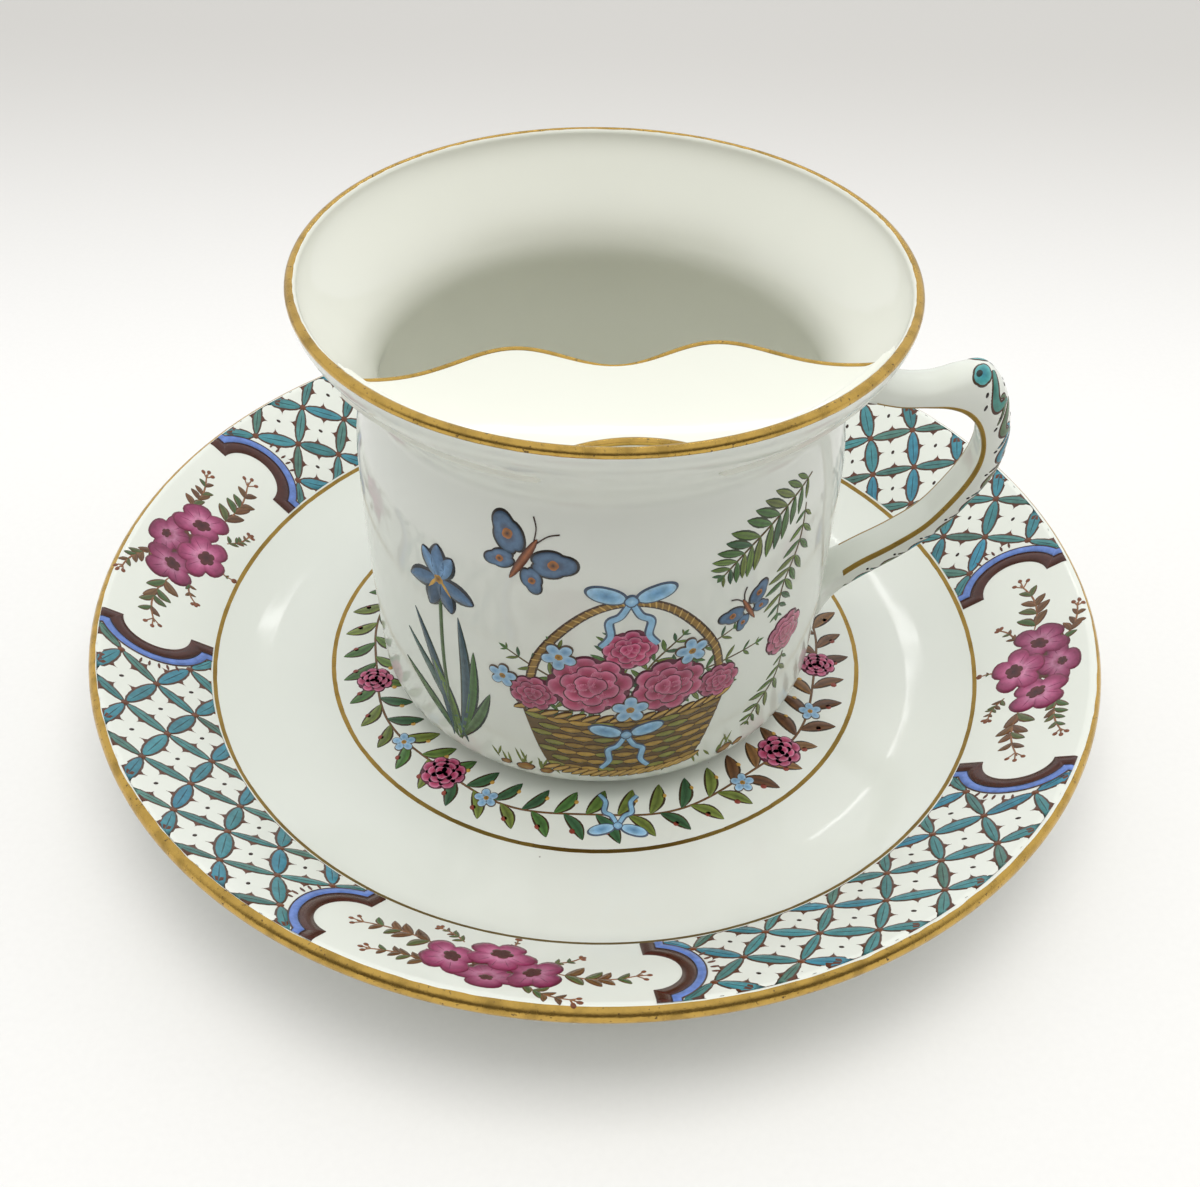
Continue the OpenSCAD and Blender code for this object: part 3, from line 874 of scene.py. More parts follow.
def on_saucer(s):
    """Carries plan points onto the saucer's painted side."""
    border = saucer_line(s, s.lip_r, 60)
    # The border's slope runs on over the start of the lip's round, so that strokes end evenly there
    last = border[-1] + (LIP_ROUND_R - border[-1, 0]) * np.array([1, np.tan(s.slope)])
    top = np.concatenate([border, [last], arc(s.lip, s.lip_r, 98, 60, 12)])

    def place(xy, high):
        r = np.hypot(xy[:, 0], xy[:, 1])
        flat = np.clip(r, 0.001, None)
        z = np.interp(r, top[:, 0], top[:, 1])
        slope = np.interp(r, top[:, 0], np.gradient(top[:, 1], top[:, 0]))
        cosine = 1 / np.sqrt(1 + slope**2)
        # On the lip's round the strokes' flat facets need 0.06 mm more height, gained over 0.3 mm
        high = high + 0.06 * (high > 0) * np.clip((r - LIP_ROUND_R) / 0.3, 0, 1)
        out = 1 - high * slope * cosine / flat
        return np.stack([xy[:, 0] * out, xy[:, 1] * out, z + high * cosine], axis=1)

    return place


def on_cup(c, middle):
    """Carries a picture onto the cup's outside: x runs along the belly and y is the height above the
    foot."""

    def place(xy, high):
        z = xy[:, 1]
        r = cup_radius(c, z)
        lean = (cup_radius(c, z + 0.05) - cup_radius(c, z - 0.05)) / 0.1
        cosine = 1 / np.sqrt(1 + lean**2)
        a = middle + xy[:, 0] / (c.belly_d / 2)
        r = r + high * cosine
        return np.stack([r * np.cos(a), r * np.sin(a), z - high * lean * cosine + c.well_z], axis=1)

    return place


def on_ridge(sz):
    """Carries a picture onto the handle's outer side: x runs along the ridge from the upper root and y
    across the strap."""
    u = np.linspace(0, len(STRAP) - 1, 400)
    ridge = strap_points(sz, u, np.array([0.0]))[:, 0]
    run = line_lengths(ridge[:, [0, 2]])

    def place(xy, high):
        at = np.interp(xy[:, 0], run, u)
        order = np.argsort(at)
        # A quarter of the section's oval is about 1.45 half-widths long
        quarter = 1.45 * through(STRAP, at)[:, 4] * sz.handle.width
        turn = np.pi / 2 * np.clip(xy[:, 1] / quarter, -1, 1)
        points = np.empty((len(xy), 3))
        for block in np.array_split(order, max(1, len(order) // 400)):
            grid = strap_points(sz, at[block], turn[block])
            points[block] = grid[np.arange(len(block)), np.arange(len(block))]
        return points + out_of_strap(sz, at, points) * high[:, None]

    return place


def out_of_strap(sz, at, points):
    """Direction from the middle of the strap's section out through points on it."""
    c, h, v = sz.cup, sz.handle, through(STRAP, at)
    belly_r, rise = c.belly_d / 2, h.top_z - h.low_z
    r = belly_r + (v[:, 0] + STRAP_WIDEST * (v[:, 2] - v[:, 0])) * (h.reach - belly_r)
    z = h.low_z + (v[:, 1] + STRAP_WIDEST * (v[:, 3] - v[:, 1])) * rise + c.well_z
    away = points - np.stack([r, 0 * r, z], axis=1)
    return away / np.linalg.norm(away, axis=1)[:, None]


# Middles of the four reserves, and half the angle that the white of one takes
RESERVE_MIDDLES = np.radians([-10, -100, 170, 80])
RESERVE_SPAN = np.radians(16.5)
# In mm: half height and depth of the lobe at a reserve's end, the radius that the lobe's middle lies
# at, and the width of the painted bands beside the white
RESERVE_LOBE = (5.05, 4.7)
RESERVE_LOBE_R = 75.25
BANDS_WIDTH = 3.65
# In mm: where the painting starts and ends, and where the slope goes over to the lip's round
PAINT_START_R, PAINT_END_R, LIP_ROUND_R = 66.75, 83.5, 83.1


def reserve_line(side, last_r, grow=0.0):
    """Edge of a reserve's white ground as radii and angles from its middle: a straight side, a sharp
    cusp, a round lobe, a cusp and a straight side again. A grown line keeps its distance all along."""
    high, deep = RESERVE_LOBE[0] + grow, RESERVE_LOBE[1] + grow
    cusp = np.arccos(grow / deep)
    turn = np.linspace(-cusp, cusp, 40)
    foot, head = RESERVE_LOBE_R - high * np.sin(cusp), RESERVE_LOBE_R + high * np.sin(cusp)
    lobe = RESERVE_LOBE_R + high * np.sin(turn)
    r = np.concatenate([np.linspace(PAINT_START_R, foot - 0.01, 6), lobe, np.linspace(head, last_r, 16)])
    out = np.concatenate([np.full(6, grow), deep * np.cos(turn), np.full(16, grow)])
    return r, side * (RESERVE_SPAN + out / r)


def span_at(r):
    """Half-span of a reserve with its painted bands, at radii r."""
    high, deep = RESERVE_LOBE[0] + BANDS_WIDTH, RESERVE_LOBE[1] + BANDS_WIDTH
    lobe = np.sqrt(np.clip(1 - ((r - RESERVE_LOBE_R) / high) ** 2, 0, 1))
    return RESERVE_SPAN + np.maximum(BANDS_WIDTH, deep * lobe) / r


def trellis_painting(middle, rng, looks):
    """A trellis of lens leaves tied at their crossings, between two reserves: the crossings lie on
    five circles 5 mm apart, every 9 degrees, and each circle is shifted by half a step."""
    circles, first_r, gap, step = 5, 65, 5.0, np.radians(9)

    def keep(xy):
        """Holds points between the gilt lines and between the reserves' bands."""
        r = np.clip(np.hypot(xy[..., 0], xy[..., 1]), 66.8, PAINT_END_R)
        a = (np.arctan2(xy[..., 1], xy[..., 0]) - middle + np.pi) % (2 * np.pi) - np.pi
        limit = np.pi / 4 - span_at(r) + 0.15 / r
        return polar(r, middle + np.clip(a, -limit, limit))

    art = Painting(keep)
    j, k = np.meshgrid(np.arange(-5, 6), np.arange(circles))
    r = first_r + gap * k
    a = middle + (j + 0.5 * (k % 2)) * step
    inside = np.abs(a - middle) < np.pi / 4 - span_at(r) + 4 / r
    for lean in (-1, 1):
        # Leaves that start on all circles but the last and end on the next one
        room = np.pi / 4 - span_at(r + gap / 2) + 2.5 / r
        low = (k < circles - 1) & (np.abs(a + lean * step / 4 - middle) < room)
        start, end = polar(r[low], a[low]), polar(r[low] + gap, a[low] + lean * step / 2)
        along = end - start
        along = along / np.linalg.norm(along, axis=1, keepdims=True)
        side = np.stack([along[:, 1], -along[:, 0]], axis=1)
        start, end = start + along * 0.2, end - along * 0.2
        centre = (start + end) / 2
        count = len(start)
        width = (2.5 if lean > 0 else 1.8) * rng.uniform(0.88, 1.12, count)
        spike = (width / 2 + 1.1)[:, None]
        brown = shade("#5a2f1c")
        art.leaf(centre - side * spike, centre + side * spike, 3.6, 0, brown, power=2.6, steps=13)
        art.leaf(start, end, width + 0.45, 1, shade("#4e3224"), power=0.5)
        pick = rng.uniform(0, 1, count)[:, None]
        other = looks.turquoise if lean > 0 else looks.olive_teal
        fill = np.array(looks.teal) * (1 - pick) + np.array(other) * pick
        fill = fill * rng.uniform(0.85, 1.15, (count, 1))
        art.leaf(start + along * 0.3, end - along * 0.3, width, 2, fill, vein=fill * 1.15, power=0.52)
        art.leaf(start + along * 0.8, end - along * 0.8, 0.26, 3, fill * 0.4, steps=7)
    art.dots(polar(r[inside], a[inside]), 0.62, 4, shade("#6b3a1e"))
    # A black dot halfway between crossings
    halfway = a + step / 2
    gaps = (k > 0) & (np.abs(halfway - middle) < np.pi / 4 - span_at(r) - 0.6 / r)
    art.dots(polar(r[gaps], halfway[gaps]), 0.46, 1, shade("#33201a"), squash=0.72, turn=a[gaps] + 0.6)
    return art


def spray_painting(art, start, turn, size, rng, leaf_codes, bend=0.12, pairs=4, layer=1):
    """A twig: a curved stem with stubby leaves in pairs all along it, smaller towards its tip, which
    ends in three berries on short stalks."""
    t = np.linspace(0, 1, 14)
    local = np.stack([t * size, bend * size * np.sin(np.pi * t * 0.9)], axis=1)
    path = local @ rotation(turn) + start
    stalk = shade("#8a5c3a")
    art.stroke(path, 0.36, layer, stalk, taper=0.4)
    for n in range(pairs):
        base = path[int((0.1 + 0.84 * n / pairs) * 13)]
        reach = size * (0.31 - 0.035 * n)
        for side in (-1, 1):
            tip = base + polar(reach, turn + side * rng.uniform(0.6, 0.95))
            code = leaf_codes[rng.integers(len(leaf_codes))]
            widths = reach * 0.54, reach * 0.4
            form = {"power": 0.7, "bend": 0.1 * side}
            art.edged_leaf(base, tip, widths, layer, shade("#5c3a22"), shade(code), shade(code, 0.6), **form)
    base = path[12]
    for side, share in ((-0.75, 0.14), (0, 0.16), (0.75, 0.14)):
        tip = base + polar(size * share, turn + side)
        art.stroke(curve([base, tip], 5), 0.26, layer, stalk)
        art.dots(tip, 0.48, layer + 1, shade("#7a4428"), squash=0.8, turn=[turn + side])


def magenta_blossom(art, centre, radius, turn, layer, deep=1.0, squash=0.8, lobes=3, heart=0.36):
    """An open blossom in magenta enamel: a dark fine edge, a pale ring where the colour was wiped
    thin, and a brown heart."""
    edge = shade("#6a1c3a", deep)
    tints = shades("#8e2d55", "#cb86a6", "#b65c86", "#963763", "#7a2048", share=deep)
    art.edged_blossom(centre, (radius * 1.05, radius), lobes, layer, edge, tints, turn, squash, 0.3)
    back = np.asarray(centre) - 0.12 * radius * np.array([-np.sin(turn), np.cos(turn)])
    browns = shades("#3d1217", "#5a2224")
    art.blossom(back, radius * heart, 5, layer + 2, browns, turn, 0.75, 0.25)
    spokes = polar(1, turn + np.radians([25, 60, 95, 130, 160]))
    start, end = back + spokes * radius * 0.35, back + spokes * radius * 0.82
    art.leaf(start, end, 0.16, layer + 2, shade("#7a2450", deep), steps=5)


def reserve_painting(middle, rng, looks):
    """A white reserve: its bands at both ends, and a bunch of four blossoms among twigs."""
    art = Painting()
    bands = (
        (-0.04, 2.05, 6, looks.border_brown),
        (1.95, 2.2, 8, linear("#2a1a22")),
        (2.15, 3.4, 7, looks.periwinkle),
        (3.32, 3.62, 8, linear("#4a3630")),
    )
    for side in (-1, 1):
        for first, last, layer, tint in bands:
            edge = min(0.1, (last - first) / 3)
            offsets = (first, first + edge, (first + last) / 2, last - edge, last)
            lines = [reserve_line(side, PAINT_END_R, max(q, 0)) for q in offsets]
            xy = np.stack([polar(r, middle + a) for r, a in lines], axis=1)
            art.lay(xy, stroke_heights(layer), np.array(tint))
        # Ticks 1.2 mm long that hatch the outside of the lobe
        fan = np.array([-2.4, -1.4, -0.5, 0.5, 1.4])
        lobe_high = RESERVE_LOBE[0] + BANDS_WIDTH
        out = (RESERVE_LOBE[1] + BANDS_WIDTH) * np.sqrt(1 - (fan * 1.3 / lobe_high) ** 2) + 0.25
        foot = polar(RESERVE_LOBE_R + 1.3 * fan, middle + side * (RESERVE_SPAN + out / 75))
        head = polar(RESERVE_LOBE_R + 1.5 * fan, middle + side * (RESERVE_SPAN + (out + 1.2) / 75))
        art.leaf(foot, head, 0.45, 6, shade("#5c3322"), power=0.6, steps=5)

    # The bunch: x runs along the border's middle circle and y outwards
    flowers = Painting(lambda xy: polar(75 + xy[..., 1], middle + xy[..., 0] / 75))
    codes = ["#6d4a2e", "#7a5231", "#5f6a3c", "#77542f", "#4f6a3a"]
    for x, y, turn, size in (
        (-9.0, -1.8, 170, 11.8),
        (9.4, 0.8, -2, 11.4),
        (-7.6, 3.4, 166, 8.4),
        (1.6, -5.4, -84, 2.6),
        (4.6, 4.0, 24, 8.2),
        (-5.4, -4.2, 200, 5.4),
        (8.2, -2.2, -28, 4.6),
    ):
        pairs = 4 if size > 5 else 2
        spray_painting(flowers, np.array([x, y]), np.radians(turn), size, rng, codes, pairs=pairs)
    flowers.blossom((0.4, 1.2), 3.6, 5, 2, shades("#4a1c1c", "#5a3420"), 0, 0.7, 0.2)
    magenta_blossom(flowers, (0.3, 3.6), 4.8, np.radians(180), 3, 0.8, 0.66, 4, 0.22)
    magenta_blossom(flowers, (6.3, 1.5), 4.5, np.radians(-50), 4, 0.8, 0.84, 4)
    magenta_blossom(flowers, (-6.0, 0.8), 4.7, np.radians(50), 5, 1.0, 0.82, 4)
    magenta_blossom(flowers, (0.7, -2.2), 5.3, np.radians(3), 6, 1.05, 0.76, 5)
    art.strokes += flowers.strokes
    return art


def peony(art, centre, radius, turn, layer, rng, deep=1.0):
    """A full round flower: three rings of lobed petals, paler towards their edges, over a dark heart."""
    centre = np.asarray(centre, float)
    art.blossom(centre, radius * 1.02, 9, layer, shade("#5e1a33", deep), turn, 0.9, 0.14)
    for ring, (count, away, size) in enumerate(((8, 0.66, 0.40), (6, 0.40, 0.36), (3, 0.16, 0.30))):
        for n in range(count):
            a = turn + 2 * np.pi * (n + 0.5 * ring) / count + rng.uniform(-0.1, 0.1)
            spot = centre + radius * away * np.array([np.cos(a), 0.9 * np.sin(a)])
            lean, quarter = a - np.pi / 2, np.pi / 2
            high = layer + 1 + 2 * ring
            wide = radius * size
            art.blossom(spot, wide * 1.1, 3, high, shade("#4f1229", deep), lean, 0.82, 0.26, quarter)
            tone = deep * rng.uniform(0.85, 1.15)
            tints = shades("#8c2547", "#a8345b", "#bb5277", "#cf86a0", share=tone)
            art.blossom(spot, wide, 3, high + 1, tints, lean, 0.8, 0.26, quarter)


def blue_flower(art, centre, radius, turn, layer):
    """Five round light-blue petals about an ochre eye."""
    edge, blues = shade("#5a4a3c"), shades("#6f9cc4", "#a9cbe2")
    for a in turn + 2 * np.pi * np.arange(5) / 5:
        spot = np.asarray(centre) + polar(0.56 * radius, a)
        art.edged_blossom(spot, (radius * 0.5, radius * 0.44), 2, layer, edge, blues, a, 0.86, 0.12)
    art.blossom(centre, radius * 0.24, 5, layer + 2, shades("#6a4a1c", "#b98a35"), turn, 1, 0.1)


def fern(art, points, size, layer, rng, codes, pairs=9):
    """A bent stem with lens leaflets in pairs, longest a third of the way up."""
    path = curve(points, 40)
    art.stroke(path, 0.42, layer, shade("#5b4a26"), taper=0.5)
    at = np.linspace(3, 38, pairs).astype(int)
    ahead = np.gradient(path, axis=0)[at]
    ahead /= np.linalg.norm(ahead, axis=1)[:, None]
    side = np.stack([ahead[:, 1], -ahead[:, 0]], axis=1)
    grow = size * np.sin(np.linspace(0.45, 2.9, pairs)) ** 0.7
    for sign in (-1, 1):
        tips = path[at] + (ahead * 0.75 + sign * side) * grow[:, None] * rng.uniform(0.9, 1.1, (pairs, 1))
        picks = rng.integers(len(codes), size=pairs)
        tone = np.array([shade(codes[q], rng.uniform(0.9, 1.15)) for q in picks])
        widths = grow * 0.42, grow * 0.31
        art.edged_leaf(path[at], tips, widths, layer, shade("#33401f"), tone, tone * 0.5, power=0.8)
    tip = path[-1] + (path[-1] - path[-4]) * 1.2
    art.leaf(path[-3], tip, size * 0.3, layer + 1, shade(codes[0]), vein=shade(codes[0], 0.5))


def wicker(art, middle, low, high, low_half, high_half, rows, layer, rng):
    """A woven basket: short bowed canes in courses, each course shifted by half a cane, between two
    plaited rims."""

    def course(x, y, half):
        """Places on a course that sags by 1.1 mm in its middle, at shares x of its half width."""
        return np.stack([middle + x * half, y - 1.1 * (1 - x**2)], axis=-1)

    t = np.linspace(0, 1, 14)[:, None]
    u = np.linspace(-1, 1, 15)[None, :]
    xy = course(u, low + (high - low) * t, low_half + (high_half - low_half) * t**0.7)
    tone = 0.75 + 0.35 * t[..., None] * (1 - 0.5 * np.abs(u[..., None]))
    art.lay(xy, height(layer), np.array(linear("#6a4f22")) * tone)
    dark, canes = shade("#42290f"), 9
    for row in range(rows):
        share = (row + 0.5) / rows
        half = low_half + (high_half - low_half) * share**0.7
        y = low + (high - low) * share
        edges = np.clip(np.linspace(-1, 1, canes + 1) + (row % 2) / canes, -1, 1)
        long = edges[1:] > edges[:-1]
        x0, x1 = edges[:-1][long], edges[1:][long]
        tone = np.array([shade("#9a7a34", q) for q in rng.uniform(0.7, 1.2, len(x0))])
        tone[::3] = shade("#7d7b35")
        thick = (high - low) / rows
        start, end = course(x0, y, half), course(x1, y, half)
        art.leaf(start, end, thick * 1.12, layer + 1, dark, power=0.45, bend=0.03)
        start, end = course(x0 * 0.99, y, half), course(x1 * 0.99, y, half)
        art.leaf(start, end, thick * 0.8, layer + 2, tone, vein=tone * 1.35, power=0.5, bend=0.03)
    slant = np.array([1.5, 0.75])
    for y, half in ((low - 0.2, low_half), (high + 0.4, high_half)):
        at = course(np.linspace(-1, 1, 16), y, half)
        art.leaf(at - slant, at + slant, 1.5, layer + 3, dark, power=0.6)
        start, end = at - slant * 0.92, at + slant * 0.92
        art.leaf(start, end, 1.1, layer + 4, shade("#a5813c"), vein=shade("#c9a55c"), power=0.6)


def bow(art, centre, size, layer, turn=0.0):
    """A ribbon bow: two folded loops, two waved tails and a knot, in light blue with darker folds."""
    rotate = rotation(turn)
    slate = shade("#4c5a6e")
    tail = np.array([(0, 0), (0.35, -0.7), (0.75, -1.0), (0.7, -1.7), (1.05, -2.2)])
    for side in (-1, 1):
        path = curve(tail * (side, 1) * size @ rotate + centre, 30)
        art.edged_stroke(path, (0.40 * size, 0.32 * size), layer, slate, shade("#8fbcdc"), taper=0.25)
        loop = (np.array([(0.9 * side, 0.28)]) * size @ rotate + centre)[0]
        a = turn + side * 0.3 + (0 if side > 0 else np.pi)
        blues = shades("#5f8fb8", "#86b5d8", "#a9d0e8")
        art.blossom(loop, 0.82 * size, 2, layer + 2, slate, a, 0.5, 0.05)
        art.blossom(loop, 0.75 * size, 2, layer + 3, blues, a, 0.47, 0.05)
    blues = shades("#a9d0e8", "#7aa9cf")
    art.edged_blossom(centre, (0.3 * size, 0.24 * size), 4, layer + 4, slate, blues, turn, 1, 0.1)


def butterfly(art, centre, size, turn, layer):
    """Two pairs of slate-blue wings with rust eyes, a rust body and two feelers."""
    rotate = rotation(turn)
    # Each wing's place, half width, slope and tone
    wings = ((0.78, 0.42, 0.72, 0.55, 1.0), (0.55, -0.42, 0.5, -0.75, 1.15))
    for side in (-1, 1):
        for reach, lift, wide, slope, tone in wings:
            spot = (np.array([[reach * side, lift]]) * size @ rotate + centre)[0]
            a = turn + side * slope + (0 if side > 0 else np.pi)
            tints = shades("#8a5a34", "#46607c", "#5f7fa0", "#2c3a4c", share=tone)
            rust = shades("#1e1a1a", "#c07a3a")
            art.blossom(spot, wide * size * 1.07, 3, layer, shade("#2a2420"), a, 0.66, 0.2)
            art.blossom(spot, wide * size, 3, layer + 1, tints, a, 0.64, 0.2)
            art.blossom(spot, wide * size * 0.24, 4, layer + 2, rust, a, 1, 0.1)
        feeler = np.array([(0.04, 0.7), (0.2, 1.1), (0.45, 1.35)]) * (side, 1) * size @ rotate + centre
        art.stroke(curve(feeler, 10), 0.22, layer + 2, shade("#3a241a"))
    body = np.array([(0, 0.85), (0, -0.8)]) * size @ rotate + centre
    art.leaf(body[0], body[1], 0.3 * size, layer + 3, shade("#5a2f1a"), vein=shade("#a8643a"), power=0.5)


def cup_picture(rng):
    """The picture on the front: a wicker basket of flowers with a ribbon, an iris, a butterfly and a
    hanging fern."""
    art = Painting()
    greens = ["#4f7a3a", "#6b8a3a", "#3f6a45", "#7a8a3c"]
    # Ground: short grass and stones
    count = 46
    foot = np.stack([rng.uniform(-17, 26, count), rng.uniform(6.6, 8.2, count)], axis=1)
    blade = np.stack([rng.uniform(-1.6, 1.6, count), rng.uniform(1.6, 3.6, count)], axis=1)
    art.leaf(foot, foot + blade, 0.55, 0, shade("#6f7a35"))
    for x, size in ((-11, 1.8), (-7.4, 1.3), (23.2, 1.7), (26, 1.2), (-14.4, 1.1)):
        browns = shades("#b08a4a", "#8a5a2e")
        art.edged_blossom((x, 7.2), (size, size * 0.86), 5, 1, shade("#4a2e18"), browns, 0.3, 0.6, 0.12)
    # Leaves behind the flowers
    for turn, size in (
        (172, 15),
        (150, 17),
        (128, 15),
        (62, 14),
        (38, 17),
        (15, 18),
        (-6, 14),
        (196, 12),
        (100, 14),
    ):
        a = np.radians(turn)
        tip = np.array([5 + 1.25 * size * np.cos(a), 25 + size * np.sin(a)])
        mid = np.array([5 + 0.62 * size * np.cos(a + 0.12), 25 + 0.5 * size * np.sin(a + 0.12)])
        fern(art, [(5 + 3 * np.cos(a), 25), mid, tip], 2.6, 0, rng, greens, pairs=8)
    # Hoop of the basket, wound with cane
    hoop = curve([(-10.2, 22.5), (-8.5, 33), (-2, 42), (5, 44.8), (12, 42), (18.5, 33), (20.2, 22.5)], 90)
    art.edged_stroke(hoop, (1.7, 1.25), 3, shade("#42290f"), shade("#8d6c30"))
    out = line_normals(hoop)[2:-2:2]
    wind = hoop[2:-2:2]
    across, ahead = out * 0.62, np.stack([-out[:, 1], out[:, 0]], axis=1) * 0.3
    start, end = wind - across - ahead, wind + across + ahead
    art.leaf(start, end, 0.4, 5, shade("#c7a35c"), power=0.5, steps=5)
    wicker(art, 5, 9, 21.5, 11.5, 16.0, 7, 3, rng)
    # Centre, radius, turn, layer and depth of colour of each peony
    for flower in (
        ((-0.6, 28.2), 6.6, 0.2, 8, 1.0),
        ((11.4, 27.2), 5.9, 1.1, 8, 0.92),
        ((5.2, 35.6), 4.2, 0.7, 6, 1.05),
        ((-9.2, 25.2), 3.9, 0.5, 7, 0.85),
        ((19.8, 25.2), 3.7, 0.1, 7, 0.88),
    ):
        peony(art, *flower[:4], rng, flower[4])
    for flower in (
        ((5.6, 22.9), 2.9, 0.3, 16),
        ((-5.2, 33.9), 2.7, 0.9, 15),
        ((14.6, 33.6), 2.6, 0.5, 15),
        ((-14.0, 27.6), 2.3, 0.2, 15),
    ):
        blue_flower(art, *flower)
    bow(art, np.array([5.0, 45.2]), 4.0, 8)
    bow(art, np.array([5.2, 17.2]), 3.6, 12)
    # Iris at the left: blades, a stem and a slate-blue flower
    blades = np.array([(-33, 27), (-30.5, 33), (-27.5, 24), (-19, 30), (-16.5, 22), (-21.4, 36), (-35, 19)])
    tone = shades("#4f6f6a", "#3f5a6a", "#6b8a3a", "#4f7a3a", "#5f7f50", "#45606e", "#5a7a48")
    root = np.array([-23.5, 8.0]) + np.stack([rng.uniform(-2, 2, 7), np.zeros(7)], axis=1)
    form = {"bend": 0.05, "power": 0.7, "steps": 16}
    art.edged_leaf(root, blades, (2.5, 2.0), 3, shade("#26352c"), tone, tone * 0.55, **form)
    art.stroke(curve([(-24, 9), (-25, 24), (-24.5, 40)], 20), 0.8, 5, shade("#4a6238"))
    head = np.array([-24.5, 42.0])
    for turn, size, code in (
        (250, 6.4, "#34465c"),
        (290, 6.2, "#3e5570"),
        (200, 6.6, "#46607c"),
        (-20, 6.6, "#46607c"),
        (120, 5.8, "#5f7fa0"),
        (62, 5.8, "#5f7fa0"),
        (90, 6.6, "#4d6a8a"),
    ):
        tip = head + polar(size, np.radians(turn))
        art.leaf(head, tip, size * 0.62, 7, shade("#20242c"), power=0.6, steps=12)
        tip = tip * 0.97 + head * 0.03
        art.leaf(head, tip, size * 0.52, 8, shade(code), vein=shade(code, 1.7), power=0.6, steps=12)
    for x in (-2.2, 2.2):
        art.leaf(head + [0, 0.5], head + [x, -2.6], 0.8, 9, shade("#c79a45"))
    art.blossom(head, 0.9, 5, 10, shades("#7a4a1c", "#c79a45"), 0, 1, 0.2)
    butterfly(art, np.array([-10.5, 51.0]), 5.0, -0.5, 4)
    butterfly(art, np.array([24.0, 38.0]), 3.4, 0.5, 4)
    # Fern and bud that hang in from the handle's side
    fern(art, [(37, 56), (30, 53.5), (23, 50), (18.5, 46.5)], 4.6, 2, rng, greens, pairs=12)
    fern(art, [(35, 52), (33.5, 45), (31, 39), (30.5, 33)], 3.6, 2, rng, greens, pairs=9)
    peony(art, (33.4, 27.5), 4.4, 0.4, 6, rng, 0.95)
    fern(art, [(34, 23), (33, 18), (29.5, 14), (27.5, 11)], 3.2, 2, rng, greens, pairs=7)
    return art


def back_picture(rng):
    """A small spray on the back: one flower among ferns."""
    art = Painting()
    greens = ["#4f7a3a", "#6b8a3a", "#3f6a45"]
    fern(art, [(0, 24), (-6, 28), (-12, 29), (-17, 33)], 3.4, 0, rng, greens)
    fern(art, [(0, 24), (6, 28), (11, 34), (17, 35)], 3.4, 0, rng, greens)
    fern(art, [(0, 22), (2, 15), (7, 12), (12, 13)], 3.0, 0, rng, greens, pairs=7)
    peony(art, (0, 25), 6.2, 0.4, 4, rng)
    blue_flower(art, (-7.6, 22.6), 2.6, 0.3, 8)
    blue_flower(art, (6.8, 20.6), 2.3, 0.9, 8)
    butterfly(art, np.array([-2.0, 43.0]), 3.6, 0.4, 4)
    return art


def wreath_picture(rng):
    """A wreath in the well: leaves in pairs on a ring, brown on the handle's side and green on the
    other, with flowers and a ribbon bow in front."""
    art = Painting()
    a = np.radians(np.linspace(0, 360, 241))
    art.stroke(polar(39.5 + 0.5 * np.sin(9 * a), a), 0.5, 0, shade("#6b4a2a"))
    browns, greens = ["#7a5231", "#6a4426", "#8a6236"], ["#4f7a3a", "#6b8a3a", "#7a8a3c", "#3f6a45"]
    at = np.radians(np.arange(0, 360, 7.5))
    for side in (-1, 1):
        own = at + side * 0.02
        base = polar(39.5 + 0.5 * np.sin(9 * own), own)
        size = rng.uniform(4.6, 5.6, len(at))
        tip = polar(39.5 + side * size, own + 0.085)
        pick = []
        for q, turn in zip(rng.integers(12, size=len(at)), np.degrees(at)):
            code = browns[q % 3] if -60 < (turn + 180) % 360 - 180 < 60 else greens[q % 4]
            pick.append(shade(code, rng.uniform(0.85, 1.2)))
        pick = np.array(pick)
        widths = size * 0.52, size * 0.42
        form = {"power": 0.75, "bend": -0.08 * side, "steps": 12}
        art.edged_leaf(base, tip, widths, 1, shade("#3c2a16"), pick, pick * 0.5, **form)
    berry = at + np.radians(3.7)
    art.dots(polar(42.6, berry), 0.62, 2, shade("#8a3a2a"))
    art.dots(polar(36.6, berry), 0.5, 2, shade("#c79a45"))
    for turn, size in ((-128, 3.8), (-38, 3.8), (-5, 3.2), (-165, 3.2), (38, 3.8), (128, 3.8), (83, 3.2)):
        peony(art, polar(39.5, np.radians(turn)), size, 0.3, 4, rng)
    for turn in (-115, -52, -142, -22, 20, 55, 110, 145):
        blue_flower(art, polar(40, np.radians(turn)), 2.0, 0.4, 6)
    bow(art, polar(41.5, np.radians(-84)), 2.9, 8, np.pi)
    # Small flower under the cup
    for stem in ([(2, 0), (8, 3), (13, 3)], [(-2, 0), (-8, 3), (-13, 3)], [(0, -2), (-2, -8), (1, -13)]):
        fern(art, stem, 2.6, 0, rng, greens, pairs=7)
    peony(art, (0, 0), 5.0, 0.3, 4, rng)
    return art


